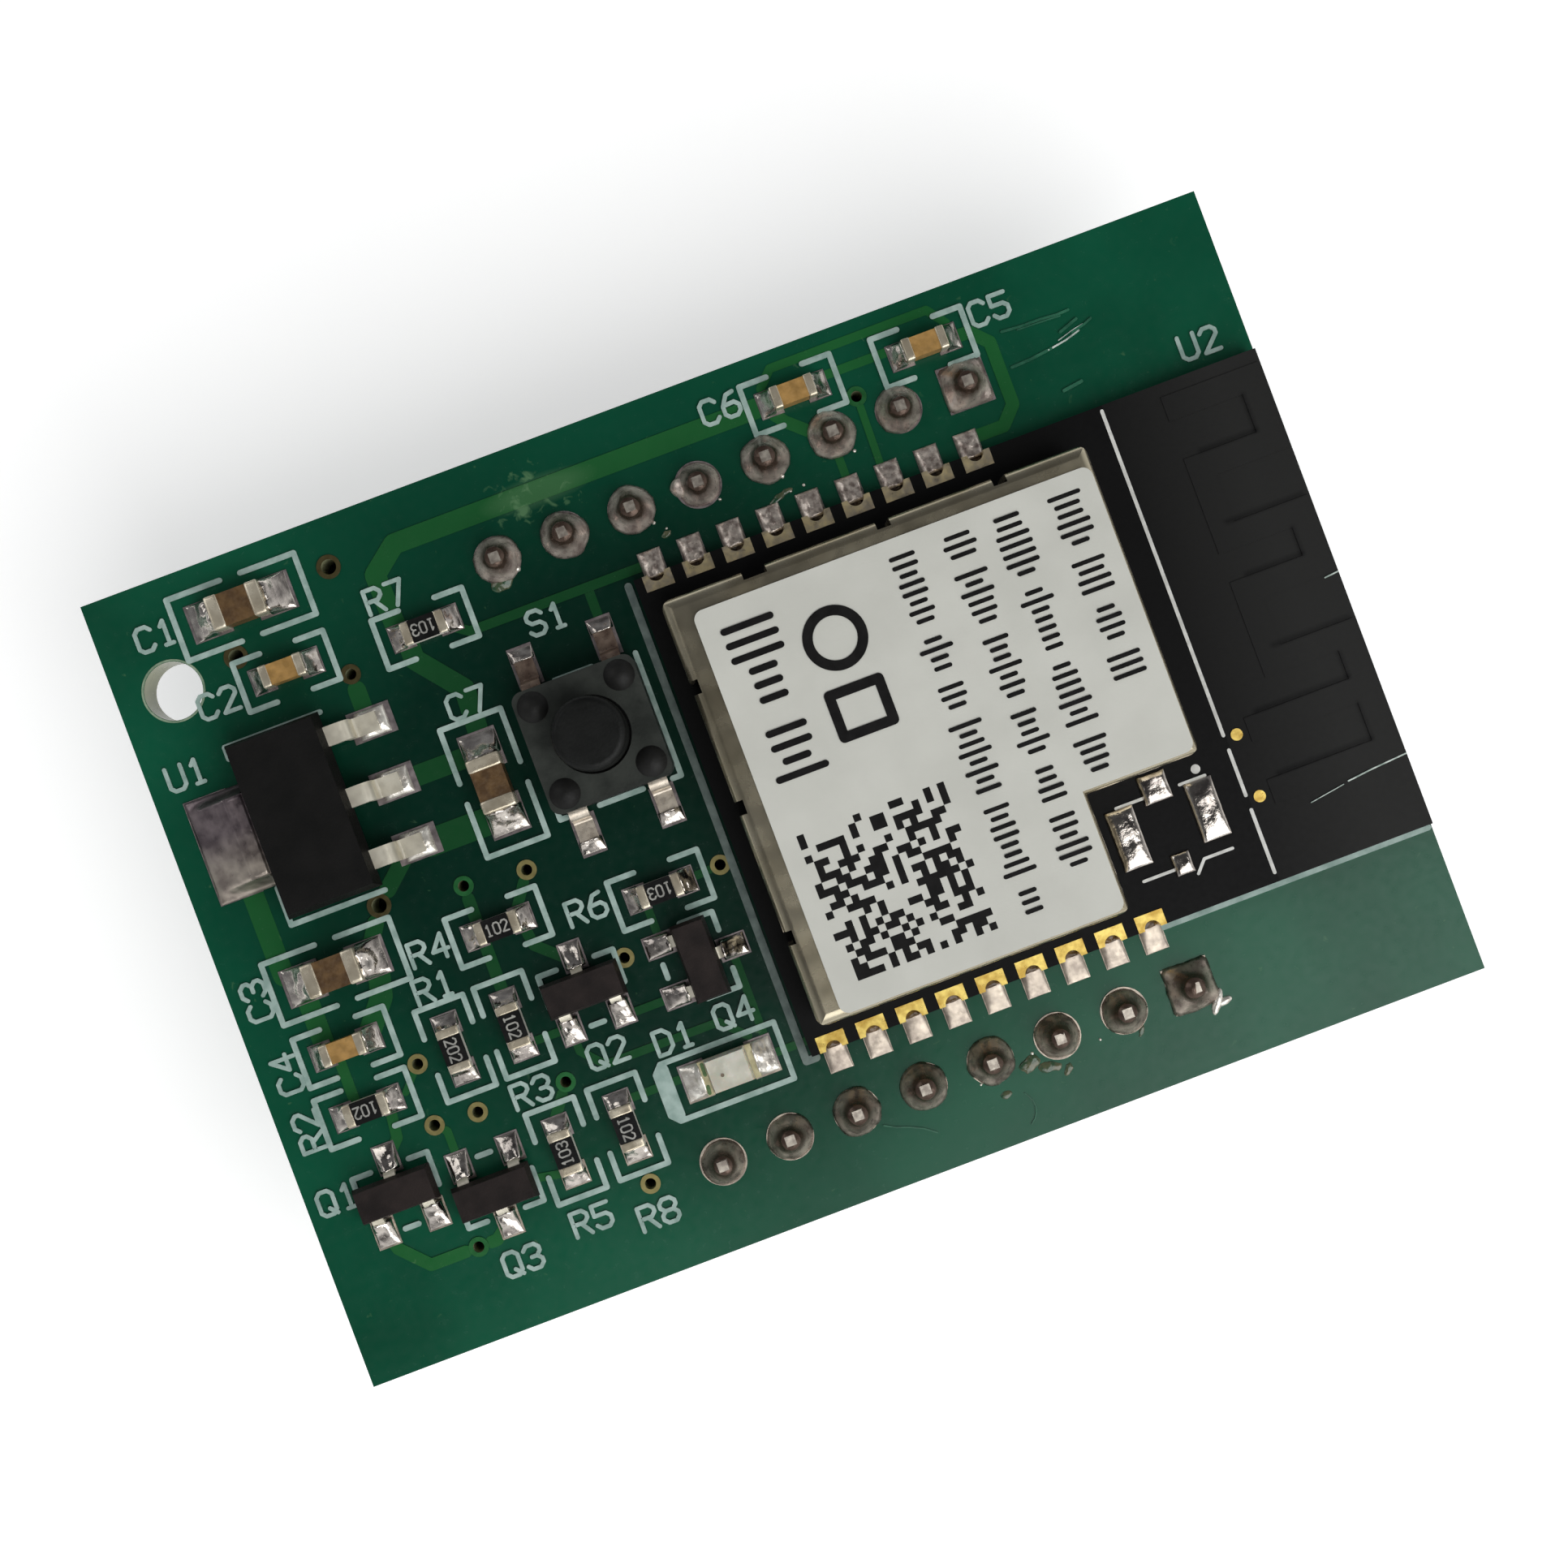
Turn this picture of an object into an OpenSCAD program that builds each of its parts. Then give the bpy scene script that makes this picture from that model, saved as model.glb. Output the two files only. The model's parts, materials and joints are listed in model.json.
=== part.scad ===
// A radio module with a shield can, soldered flat on a carrier board with two header rows.
// Millimetres, Z up. The pin tips stand on z = 0 and the board's middle lies on the Z axis.
// X runs along the board's long side toward the antenna, Y toward the upper header row.

/* [Carrier board] */
// Length of the carrier board along X
board_l = 42.3; // [42:0.1:46]
// Width of the carrier board along Y
board_w = 29.6; // [29.4:0.1:33]
// Thickness of the carrier board
board_t = 1.6; // [0.8:0.1:2.4]
// Diameter of the mounting hole
mount_hole_d = 2.1; // [1.6:0.1:2.6]
// Mounting hole's centre from the board's left edge
mount_hole_x = 2.05; // [1.6:0.05:2.4]
// Mounting hole's centre from the board's upper edge
mount_hole_y = 3.95; // [3.5:0.05:4.2]
// Drill of a signal via
via_d = 0.4; // [0.2:0.05:0.5]
// Drill of a supply via
supply_via_d = 0.55; // [0.4:0.05:0.7]
// Width of the plated ring round a via
via_ring = 0.16; // [0.1:0.01:0.2]
// Thickness of a tinned land
land_t = 0.05; // [0.03:0.01:0.1]
// How far a land stands out beside a chip
land_side = 0.08; // [0.02:0.01:0.15]

/* [Pin headers] */
// Pins in each row
pin_count = 8; // [4:1:8]
// Distance between neighbouring pins
pin_pitch = 2.54; // [2:0.01:2.6]
// Distance between the two rows
row_spacing = 22.86; // [22.6:0.01:23.6]
// First pin of the rows from the board's left edge
row_start = 14.45; // [14.1:0.01:14.8]
// Side of a square pin
pin_w = 0.64; // [0.5:0.02:0.7]
// Pin length below the plastic strip
pin_mate = 6; // [3:0.1:9]
// Pin length above the board
pin_rise = 1; // [0.9:0.05:1.6]
// Length of the taper at each pin end
pin_taper = 0.4; // [0.2:0.05:0.6]
// Side of the flat at a pin's tip
pin_tip_w = 0.36; // [0.2:0.02:0.46]
// Play between a pin's corners and its hole
pin_play = 0.1; // [0.04:0.02:0.2]
// Width of the plated ring round a pin hole
pin_ring = 0.35; // [0.25:0.01:0.4]
// Height of the solder at a pin
joint_h = 0.72; // [0.5:0.02:0.8]
// Height of a plastic strip
strip_h = 2.5; // [1.5:0.1:3]
// Width of a plastic strip
strip_w = 2.5; // [2:0.05:3]
// Corner cut of a strip segment
strip_cut = 0.4; // [0.2:0.05:0.6]

/* [Radio board] */
// Length of the radio board along X
radio_l = 23.4; // [22.8:0.1:24]
// Width of the radio board along Y
radio_w = 17.9; // [17.4:0.1:18.4]
// Thickness of the radio board
radio_t = 0.8; // [0.6:0.05:1.2]
// Radio board's inner end from the carrier board's left edge
radio_start = 18.73; // [18.65:0.01:19.2]
// Middle of the radio board and of the header rows from the carrier board's middle, along Y
radio_shift_y = -0.25; // [-0.4:0.01:0]
// Edge contacts on each long side
contact_count = 9; // [5:1:10]
// Distance between neighbouring contacts
contact_pitch = 1.5; // [1.3:0.05:1.6]
// First contact from the radio board's inner end
contact_start = 0.84; // [0.7:0.02:1]
// Width of a contact's pad
contact_w = 1.05; // [0.9:0.05:1.2]
// Depth of a contact's pad from the edge
contact_depth = 0.58; // [0.5:0.02:0.7]
// Diameter of the half-round edge notch
notch_d = 0.7; // [0.5:0.02:0.8]
// Thickness of the plating
plating_t = 0.04; // [0.02:0.01:0.06]
// Play between the plating and its notch
plating_play = 0.01; // [0.005:0.005:0.02]
// Width of the carrier board's land under a contact
edge_land_w = 0.87; // [0.8:0.01:1]
// Reach of that land past the radio board's edge
edge_land_out = 0.92; // [0.7:0.02:1]
// Height of the solder in a notch
edge_solder_h = 0.56; // [0.3:0.02:0.6]

/* [Shield can] */
// Length of the can along X
can_l = 15.55; // [15:0.05:16]
// Width of the can along Y
can_w = 15.55; // [15:0.05:15.8]
// Height of the can
can_h = 2.35; // [2.2:0.05:3]
// Thickness of the sheet
sheet_t = 0.2; // [0.12:0.01:0.25]
// Outer radius of the folds
fold_r = 0.4; // [0.3:0.02:0.5]
// Can's wall from the radio board's inner end
can_start = 0.62; // [0.4:0.02:0.8]
// Middle of the can from the radio board's middle, along Y
can_shift_y = -0.08; // [-0.2:0.01:0.1]
// Length of the cut corner along X
cut_l = 4.13; // [3.9:0.01:4.3]
// Width of the cut corner along Y
cut_w = 4.27; // [4:0.01:4.5]
// Width of a narrow wall slit
slit_w = 0.5; // [0.3:0.05:0.7]
// Width of the wide wall slit
wide_slit_w = 0.85; // [0.7:0.05:1]
// Depth of a slit, which runs up through the fold, from the wall's outside
slit_depth = 0.3; // [0.26:0.01:0.34]
// Thickness of the label
label_t = 0.08; // [0.05:0.01:0.12]
// Bare can left of the label
label_left = 0.9; // [0.6:0.05:1.2]
// Bare can above the label
label_upper = 0.75; // [0.6:0.05:1.2]
// Bare can at the label's other edges
label_edge = 0.16; // [0.1:0.02:0.6]
// Corner radius of the label
label_r = 0.35; // [0.2:0.05:0.5]

/* [Radio board's parts] */
// Width of the antenna track
track_w = 0.9; // [0.6:0.05:1]
// Thickness of the antenna track
track_t = 0.035; // [0.02:0.005:0.05]
// Distance between the antenna's rows
track_pitch = 2.32; // [2.2:0.01:2.36]
// How much lower the rows below an open turn lie
track_drop = 0.35; // [0:0.05:0.5]
// Length of the antenna's turns along X
track_turn = 2.75; // [2.4:0.05:3]
// Antenna track from the board's antenna end
track_edge = 0.1; // [0.05:0.05:0.3]
// Lowest antenna row from the radio board's lower edge
track_start = 3.05; // [2.8:0.05:3.1]
// Length of the two feeding legs
feed_l = 4.85; // [4.6:0.05:4.9]
// Diameter of a test dot
dot_d = 0.43; // [0.3:0.01:0.5]
// Distance of the connector's side lands
connector_span = 2.96; // [2.8:0.02:3.1]
// Length of a connector side land
connector_land_l = 2.2; // [2:0.05:2.3]
// Width of a connector land
connector_land_w = 1.05; // [0.9:0.05:1.1]
// Side of the processor
processor_w = 5; // [4:0.1:6]
// Height of the processor
processor_h = 0.85; // [0.6:0.05:1]
// Width of the memory chip's body
memory_w = 3.9; // [3.6:0.1:4.4]
// Length of the memory chip
memory_l = 4.9; // [4.5:0.1:5.4]
// Height of the memory chip
memory_h = 1.5; // [1.2:0.05:1.7]
// Length of the crystal
crystal_l = 3.2; // [2.5:0.1:3.4]
// Width of the crystal
crystal_w = 2.5; // [2:0.1:2.6]
// Height of the crystal
crystal_h = 0.7; // [0.5:0.05:0.9]
// Length of a small passive
passive_l = 1; // [0.6:0.05:1.1]

/* [Regulator] */
// Length of the regulator's body
reg_l = 6.5; // [6.3:0.05:6.7]
// Width of the regulator's body
reg_w = 3.5; // [3.3:0.05:3.7]
// Height of the regulator's body
reg_h = 1.6; // [1.4:0.05:1.8]
// Distance across the regulator's lead tips
reg_span = 7; // [6.7:0.05:7.3]
// Distance between the regulator's leads
reg_pitch = 2.3; // [2.2:0.01:2.4]
// Width of a regulator lead
reg_lead_w = 0.7; // [0.6:0.02:0.84]
// Width of the cooling tab
reg_tab_w = 3; // [2.9:0.02:3.2]
// Thickness of the regulator's leads
reg_lead_t = 0.28; // [0.23:0.01:0.35]
// Height at which the regulator's leads leave its body
reg_lead_z = 1.05; // [0.95:0.01:1.15]

/* [Transistors] */
// Length of a transistor's body
sot_l = 2.9; // [2.8:0.05:3.05]
// Width of a transistor's body
sot_w = 1.3; // [1.2:0.05:1.4]
// Height of a transistor's body
sot_h = 1; // [0.9:0.05:1.1]
// Distance across a transistor's lead tips
sot_span = 2.45; // [2.3:0.05:2.6]
// Distance between the two leads on one side
sot_pitch = 1.9; // [1.8:0.05:2]
// Width of a transistor lead
sot_lead_w = 0.42; // [0.35:0.01:0.5]
// Thickness of a transistor lead
sot_lead_t = 0.13; // [0.1:0.01:0.16]
// Height at which a transistor's leads leave its body
sot_lead_z = 0.6; // [0.5:0.01:0.7]

/* [Push switch] */
// Side of the switch
switch_w = 4.5; // [4.4:0.05:4.8]
// Height of the switch's base
switch_base_h = 1.7; // [1.6:0.05:2]
// Thickness of the cover plate
cover_t = 0.25; // [0.15:0.01:0.35]
// Corner radius of the base and cover plate
switch_r = 0.4; // [0.2:0.05:0.6]
// Diameter of the button
button_d = 2.6; // [2.2:0.05:2.7]
// Button's height above the cover plate
button_rise = 1.7; // [0.6:0.05:2.5]
// Round of the button's rim
button_r = 0.25; // [0.1:0.05:0.4]
// Travel of the button
button_travel = 0.25; // [0.15:0.01:0.35]
// Play round the button and its flange
button_play = 0.08; // [0.05:0.01:0.12]
// Reach of the flange that keeps the button in
flange_reach = 0.35; // [0.2:0.01:0.38]
// Distance between the corner stakes
stake_pitch = 3.2; // [3.15:0.01:3.3]
// Diameter of a stake's head
stake_head_d = 1.1; // [0.9:0.05:1.15]
// Diameter of a stake's shank
stake_d = 0.6; // [0.4:0.02:0.62]
// Height of a stake's head
stake_rise = 0.28; // [0.15:0.01:0.4]
// Distance between the terminals on one side
terminal_pitch = 3; // [2.8:0.05:3.2]
// Width of a terminal
terminal_w = 0.7; // [0.6:0.02:0.8]
// Thickness of a terminal
terminal_t = 0.2; // [0.15:0.01:0.25]
// Height at which a terminal leaves the base
terminal_z = 0.85; // [0.75:0.01:1.1]
// Reach of a terminal past the base
terminal_reach = 1.15; // [1:0.05:1.3]

/* [Indicator light] */
// Length of the light
light_l = 2; // [1.8:0.05:2.2]
// Width of the light
light_w = 1.25; // [1.1:0.05:1.4]
// Height of the light's base
light_base_h = 0.35; // [0.25:0.05:0.5]
// Length of the lens
lens_l = 1.5; // [1.2:0.05:1.56]
// Height of the lens
lens_h = 0.45; // [0.3:0.05:0.6]
// Width of a light's end terminal
light_band = 0.22; // [0.15:0.01:0.3]
// Reach of the land past the light's end
light_toe = 0.75; // [0.6:0.05:0.9]

/* [Chips] */
// Length of a large capacitor
large_l = 2; // [1.9:0.05:2.1]
// Width of a large capacitor
large_w = 1.25; // [1.1:0.05:1.35]
// Height of a large capacitor
large_h = 0.95; // [0.7:0.05:1.25]
// Length of a large capacitor's plated end
large_band = 0.48; // [0.3:0.02:0.6]
// Reach of the land past a large capacitor's end
large_toe = 0.95; // [0.7:0.05:1.05]
// Length of a small chip
small_l = 1.6; // [1.5:0.05:1.7]
// Width of a small chip
small_w = 0.82; // [0.75:0.01:0.9]
// Height of a small capacitor
small_h = 0.82; // [0.7:0.01:0.9]
// Height of a resistor
resistor_h = 0.48; // [0.4:0.01:0.6]
// Length of a small chip's plated end
small_band = 0.32; // [0.2:0.01:0.4]
// Reach of the land past a small chip's end
small_toe = 0.52; // [0.4:0.02:0.6]
// Thickness of a chip's plated end
cap_plate_t = 0.04; // [0.02:0.01:0.06]
// Height that a resistor's coat stands proud
coat_rise = 0.02; // [0.01:0.01:0.04]

/* [Hidden] */
$fn = 48;

// Places on the board as X, Y and turn, X from its left edge and Y from its middle
large_places = [[5.35, 12.8, 0], [3.95, -0.5, 0], [11.55, 3.8, 90]];
small_places = [[6.05, 10.1, 0], [3.35, -3.15, 0], [31.3, 12.95, 0], [26.35, 13, 0]];
resistor_places = [
    [6.95, -4.55, 90], [3.3, -5.45, 180], [9.2, -4.5, 90], [9.9, -1.05, 0],
    [9.35, -9.35, 90], [15.75, -1.85, 180], [11.2, 9.8, 180], [11.7, -9.3, 90],
];
transistor_places = [[3.3, -8.58, 0], [12, -4.16, 0], [6.58, -9.76, 180], [16.24, -4.62, 270]];
regulator_place = [5, 5.03, 0];
switch_place = [15.55, 4.1, 0];
light_place = [15.81, -8.65, 0];
// Vias as X and Y, from the same edge and middle
signal_vias = [
    [11.55, 0.5], [18.05, -1.75], [13.7, -3.65], [5.5, -4.6], [5.3, -6.85], [6.9, -6.95],
    [11.75, -11.5], [8.15, 9.2], [10.2, -7.05], [5.25, -11.45], [28.45, 12.15], [9.25, 0.75],
];
supply_vias = [[8.75, 13.05], [4.55, 11.2], [6.2, 1.15]];
// Wall slits of the can, from its inner end or its upper wall
upper_slits = [8.1, 12.35];
wide_slit = 3.4;
inner_slits = [3.15, 7.55, 12.3];
// Middle of the connector lands from the can's cut corner
connector_offset = [2.58, -2.09];
// Places under the can, from its inner end and its upper wall
processor_place = [4.7, 5.4];
memory_place = [11.2, 4.7];
crystal_place = [3.1, 11.7];
passives_place = [5.6, 13.3];

// Sizes of the two kinds of chip as length, width, plated end and land toe
large_chip = [large_l, large_w, large_band, large_toe];
small_chip = [small_l, small_w, small_band, small_toe];
// Radius of the rounded long edges of a chip, of a lead's bends and of the base's stand-off
chip_r = 0.08;
bend_r = 0.12;
stand_off = 0.06;
// Hollow of a solder fillet, as a share of its size, and its size against its toe
hollow_share = 0.94;
fillet_share = 0.75;

// Left edge of the carrier board
board_x0 = -board_l / 2;

// Heights of the stack
board_z = pin_mate + strip_h;
board_top = board_z + board_t;
land_top = board_top + land_t;
radio_z = land_top + plating_t;
radio_top = radio_z + radio_t;
can_top = radio_top + can_h;

// Header holes
pin_hole_d = pin_w * sqrt(2) + pin_play;
header_land_d = pin_hole_d + 2 * pin_ring;
pin_top = board_top + pin_rise;
row_ys = [radio_shift_y + row_spacing / 2, radio_shift_y - row_spacing / 2];

// Outline of the radio board and its contacts
radio_x0 = board_x0 + radio_start;
radio_x1 = radio_x0 + radio_l;
radio_y0 = radio_shift_y - radio_w / 2;
radio_y1 = radio_shift_y + radio_w / 2;
function contact_x(i) = radio_x0 + contact_start + i * contact_pitch;

// Outline of the can and its cut corner
can_x0 = radio_x0 + can_start;
can_x1 = can_x0 + can_l;
can_y0 = radio_shift_y + can_shift_y - can_w / 2;
can_y1 = can_y0 + can_w;
cut_x = can_x1 - cut_l;
cut_y = can_y0 + cut_w;

// Antenna rows and columns
track_far = radio_x1 - track_edge - track_w / 2;
track_near = track_far - track_turn;
feed_x = track_far - feed_l;
antenna_rows = 7;
// Rows between the feeding legs and the last row whose number is even lie below an open turn
function below_open_turn(i) = i > 0 && i < antenna_rows - 1 && i % 2 == 0;
function track_y(i) =
    radio_y0 + track_start + i * track_pitch - (below_open_turn(i) ? track_drop : 0);

// Bent leads: reach of the stub into the body and straight foot
reg_stub = 0.8;
reg_foot = 0.75;
sot_stub = 0.3;
sot_foot = 0.25;
terminal_stub = 0.2;
terminal_foot = 0.65;
// Lands past a lead's tip, under its foot and beside it
lead_toe = 0.55;
lead_heel = 0.3;
lead_side = 0.22;
tab_side = 0.45;

// Inside of the switch
button_hole_d = button_d + 2 * button_play;
flange_d = button_d + 2 * flange_reach;
chamber_d = flange_d + 2 * button_play;
switch_floor = 0.5;
flange_t = 0.3;
flange_gap = 0.03;
dome_h = 0.4;
dome_t = 0.08;
dome_d = 3;
nub_d = 0.9;
nub_gap = 0.02;

// Puts a chip at its place, standing on the lands
module placed(spot) {
    translate([board_x0 + spot[0], spot[1], land_top])
        rotate(spot[2])
            children();
}

// Rectangle with round corners
module round_rect(w, h, r) {
    square([w - 2 * r, h], center = true);
    square([w, h - 2 * r], center = true);
    for (sx = [-1, 1], sy = [-1, 1])
        translate([sx * (w / 2 - r), sy * (h / 2 - r)])
            circle(r);
}

// Box from one corner to the other
module span_box(x0, x1, y0, y1, z0, z1) {
    translate([x0, y0, z0])
        cube([x1 - x0, y1 - y0, z1 - z0]);
}

// Plate of the land's thickness that lies on the carrier board
module land(w, l) {
    translate([-w / 2, -l / 2, -land_t])
        cube([w, l, land_t]);
}

// Side view of a moulded body that tapers away from its parting line
module taper_profile(width, h, mid, taper) {
    half = width / 2;
    polygon([
        [taper - half, 0], [half - taper, 0], [half, mid],
        [half - taper, h], [taper - half, h], [-half, mid],
    ]);
}

// Moulded body with tapered sides
module moulded_block(l, w, h, mid, taper) {
    intersection() {
        rotate([90, 0, 0])
            linear_extrude(w, center = true)
                taper_profile(l, h, mid, taper);
        rotate([90, 0, 90])
            linear_extrude(l, center = true)
                taper_profile(w, h, mid, taper);
    }
}

// Quarter of a ring about the origin, in the quadrant of two signs
module ring_quarter(r, t, sx, sy) {
    side = r + t;
    intersection() {
        difference() {
            circle(side);
            circle(r);
        }
        translate([sx > 0 ? 0 : -side, sy > 0 ? 0 : -side])
            square(side);
    }
}

// Lead bent down from the body to a foot on its land, from start to end along X
module bent_lead(start, end, rise, foot, w, t) {
    r = min(bend_r, 0.8 * (rise / 2 - t));
    bend = end - foot - 2 * r - t;
    rotate([90, 0, 0])
        linear_extrude(w, center = true) {
            translate([start, rise - t])
                square([bend - start, t]);
            translate([bend, rise - t - r])
                ring_quarter(r, t, 1, 1);
            translate([bend + r, t + r])
                square([t, rise - 2 * (t + r)]);
            translate([end - foot, t + r])
                ring_quarter(r, t, -1, -1);
            translate([end - foot, 0])
                square([foot, t]);
        }
}

// Hollow solder fillet of width w, climbing from a land up an end face at X = 0
module end_fillet(r, w) {
    rotate([90, 0, 0])
        linear_extrude(w, center = true)
            difference() {
                square(r);
                translate([r, r])
                    circle(r * hollow_share);
            }
}

// Carrier board

module main_board() {
    color("#0b4a33")
        difference() {
            translate([board_x0, -board_w / 2, board_z])
                cube([board_l, board_w, board_t]);
            translate([board_x0 + mount_hole_x, board_w / 2 - mount_hole_y, board_z - 1])
                cylinder(d = mount_hole_d, h = board_t + 2);
            for (spot = signal_vias)
                translate([board_x0 + spot[0], spot[1], board_z - 1])
                    cylinder(d = via_d, h = board_t + 2);
            for (spot = supply_vias)
                translate([board_x0 + spot[0], spot[1], board_z - 1])
                    cylinder(d = supply_via_d, h = board_t + 2);
            for (y = row_ys)
                along_row(y)
                    translate([0, 0, board_z - 1])
                        cylinder(d = pin_hole_d, h = board_t + 2);
        }
}

// Plated ring at the top of a via
module via_ring_at(spot, d) {
    translate([board_x0 + spot[0], spot[1], board_top])
        difference() {
            cylinder(d = d + 2 * via_ring, h = land_t);
            translate([0, 0, -1])
                cylinder(d = d, h = land_t + 2);
        }
}

module via_rings() {
    color("#9a9468") {
        for (spot = signal_vias)
            via_ring_at(spot, via_d);
        for (spot = supply_vias)
            via_ring_at(spot, supply_via_d);
    }
}

// Two lands under the ends of a chip
module chip_lands(size) {
    inner = size[0] / 2 - size[2];
    outer = size[0] / 2 + size[3];
    for (side = [-1, 1])
        translate([side * (inner + outer) / 2, 0, 0])
            land(outer - inner, size[1] + 2 * land_side);
}

// Land under a lead whose foot ends at a distance along X
module lead_land(end, foot, w, side) {
    translate([end + (lead_toe - foot - lead_heel) / 2, 0, 0])
        land(foot + lead_heel + lead_toe, w + 2 * side);
}

module solder_lands() {
    color("#a59c90") {
        for (spot = large_places)
            placed(spot)
                chip_lands(large_chip);
        for (spot = concat(small_places, resistor_places))
            placed(spot)
                chip_lands(small_chip);
        placed(light_place)
            chip_lands([light_l, light_w, light_band, light_toe]);
        for (spot = transistor_places)
            placed(spot)
                transistor_sides()
                    lead_land(sot_span / 2, sot_foot, sot_lead_w, lead_side);
        placed(regulator_place) {
            regulator_lead_sides()
                lead_land(reg_span / 2, reg_foot, reg_lead_w, lead_side);
            rotate(180)
                lead_land(reg_span / 2, reg_foot, reg_tab_w, tab_side);
        }
        placed(switch_place)
            terminal_sides()
                lead_land(switch_w / 2 + terminal_reach, terminal_foot, terminal_w, lead_side / 2);
        contact_sides()
            translate([-edge_land_w / 2, -contact_depth, board_top])
                cube([edge_land_w, contact_depth + edge_land_out, land_t]);
        for (y = row_ys)
            header_lands(y);
    }
}

// Pin headers

// Repeats a piece at each pin of a row
module along_row(y) {
    for (i = [0 : pin_count - 1])
        translate([board_x0 + row_start + i * pin_pitch, y, 0])
            children();
}

// Lands of a row, round but for the square one at the last pin
module header_lands(y) {
    last_x = board_x0 + row_start + (pin_count - 1) * pin_pitch;
    difference() {
        union() {
            for (i = [1 : pin_count - 1])
                translate([last_x - i * pin_pitch, y, board_top])
                    cylinder(d = header_land_d, h = land_t);
            translate([last_x - header_land_d / 2, y - header_land_d / 2, board_top])
                cube([header_land_d, header_land_d, land_t]);
        }
        along_row(y)
            translate([0, 0, board_z])
                cylinder(d = pin_hole_d, h = board_t + 2 * land_t);
    }
}

// Side view of a pin, tapered at both ends
module pin_profile() {
    half = pin_w / 2;
    tip = pin_tip_w / 2;
    polygon([
        [-tip, 0], [tip, 0], [half, pin_taper], [half, pin_top - pin_taper],
        [tip, pin_top], [-tip, pin_top], [-half, pin_top - pin_taper], [-half, pin_taper],
    ]);
}

module header_pins(y) {
    color("#c9b98a")
        along_row(y)
            intersection() {
                rotate([90, 0, 0])
                    linear_extrude(pin_w, center = true)
                        pin_profile();
                rotate([90, 0, 90])
                    linear_extrude(pin_w, center = true)
                        pin_profile();
            }
}

// Plastic strip of chamfered segments
module header_strip(y) {
    half_l = pin_pitch / 2;
    half_w = strip_w / 2;
    color("#1c1c1c")
        difference() {
            along_row(y)
                translate([0, 0, pin_mate])
                    linear_extrude(strip_h)
                        polygon([
                            [-half_l, -half_w + strip_cut], [-half_l + strip_cut, -half_w],
                            [half_l - strip_cut, -half_w], [half_l, -half_w + strip_cut],
                            [half_l, half_w - strip_cut], [half_l - strip_cut, half_w],
                            [-half_l + strip_cut, half_w], [-half_l, half_w - strip_cut],
                        ]);
            along_row(y)
                translate([-pin_w / 2, -pin_w / 2, pin_mate - 1])
                    cube([pin_w, pin_w, strip_h + 2]);
        }
}

// Solder that climbs from a land to the pin in a hollow cone
module header_solder(y) {
    foot_r = header_land_d / 2;
    neck_r = pin_w / sqrt(2) + pin_play / 2;
    color("#8c857f")
        along_row(y)
            difference() {
                translate([0, 0, land_top])
                    rotate_extrude()
                        polygon([
                            [0, 0], [foot_r, 0], [foot_r, 0.06 * joint_h],
                            [neck_r + 0.45 * (foot_r - neck_r), 0.36 * joint_h],
                            [neck_r + 0.15 * (foot_r - neck_r), 0.7 * joint_h],
                            [neck_r, joint_h], [0, joint_h],
                        ]);
                translate([-pin_w / 2, -pin_w / 2, board_z])
                    cube([pin_w, pin_w, board_t + pin_rise + 1]);
            }
}

// Radio board

// Repeats a piece at each edge contact, with Y pointing out of the radio board
module contact_sides() {
    for (i = [0 : contact_count - 1]) {
        translate([contact_x(i), radio_y1, 0])
            children();
        translate([contact_x(i), radio_y0, 0])
            rotate(180)
                children();
    }
}

module radio_board() {
    color("#1e1f1e")
        difference() {
            span_box(radio_x0, radio_x1, radio_y0, radio_y1, radio_z, radio_top);
            contact_sides()
                translate([0, 0, radio_z - 1])
                    cylinder(d = notch_d, h = radio_t + 2);
        }
}

// Plated half barrel with a pad above and below the board
module edge_contacts() {
    barrel_d = notch_d - 2 * plating_play;
    color("#d9b95a")
        contact_sides()
            difference() {
                union() {
                    for (z = [land_top, radio_top])
                        translate([-contact_w / 2, -contact_depth, z])
                            cube([contact_w, contact_depth, plating_t]);
                    intersection() {
                        translate([0, 0, land_top])
                            cylinder(d = barrel_d, h = radio_t + 2 * plating_t);
                        translate([-contact_w / 2, -contact_depth, land_top])
                            cube([contact_w, contact_depth, radio_t + 2 * plating_t]);
                    }
                }
                translate([0, 0, land_top - 1])
                    cylinder(d = barrel_d - 2 * plating_t, h = radio_t + 3);
            }
}

// Solder that fills the lower part of a notch and runs out on the land
module edge_solder() {
    core_r = notch_d / 2 - 2 * plating_play - plating_t;
    foot_r = edge_land_w / 2;
    color("#8c857f")
        contact_sides()
            translate([0, 0, land_top]) {
                cylinder(r = core_r, h = edge_solder_h);
                intersection() {
                    rotate_extrude()
                        polygon([
                            [0, 0], [foot_r, 0], [foot_r, 0.1 * edge_solder_h],
                            [core_r + 0.3 * (foot_r - core_r), 0.45 * edge_solder_h],
                            [core_r, edge_solder_h], [0, edge_solder_h],
                        ]);
                    translate([-foot_r, 0, 0])
                        cube([2 * foot_r, foot_r, edge_solder_h]);
                }
            }
}

// Box with round upright corners and round upper edges
module folded_box(x0, x1, y0, y1, h, r) {
    l = x1 - x0;
    w = y1 - y0;
    translate([(x0 + x1) / 2, (y0 + y1) / 2, 0])
        intersection() {
            linear_extrude(h)
                round_rect(l, w, r);
            rotate([90, 0, 0])
                linear_extrude(w, center = true)
                    translate([0, h / 2 - r])
                        round_rect(l, h + 2 * r, r);
            rotate([90, 0, 90])
                linear_extrude(l, center = true)
                    translate([0, h / 2 - r])
                        round_rect(w, h + 2 * r, r);
        }
}

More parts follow.
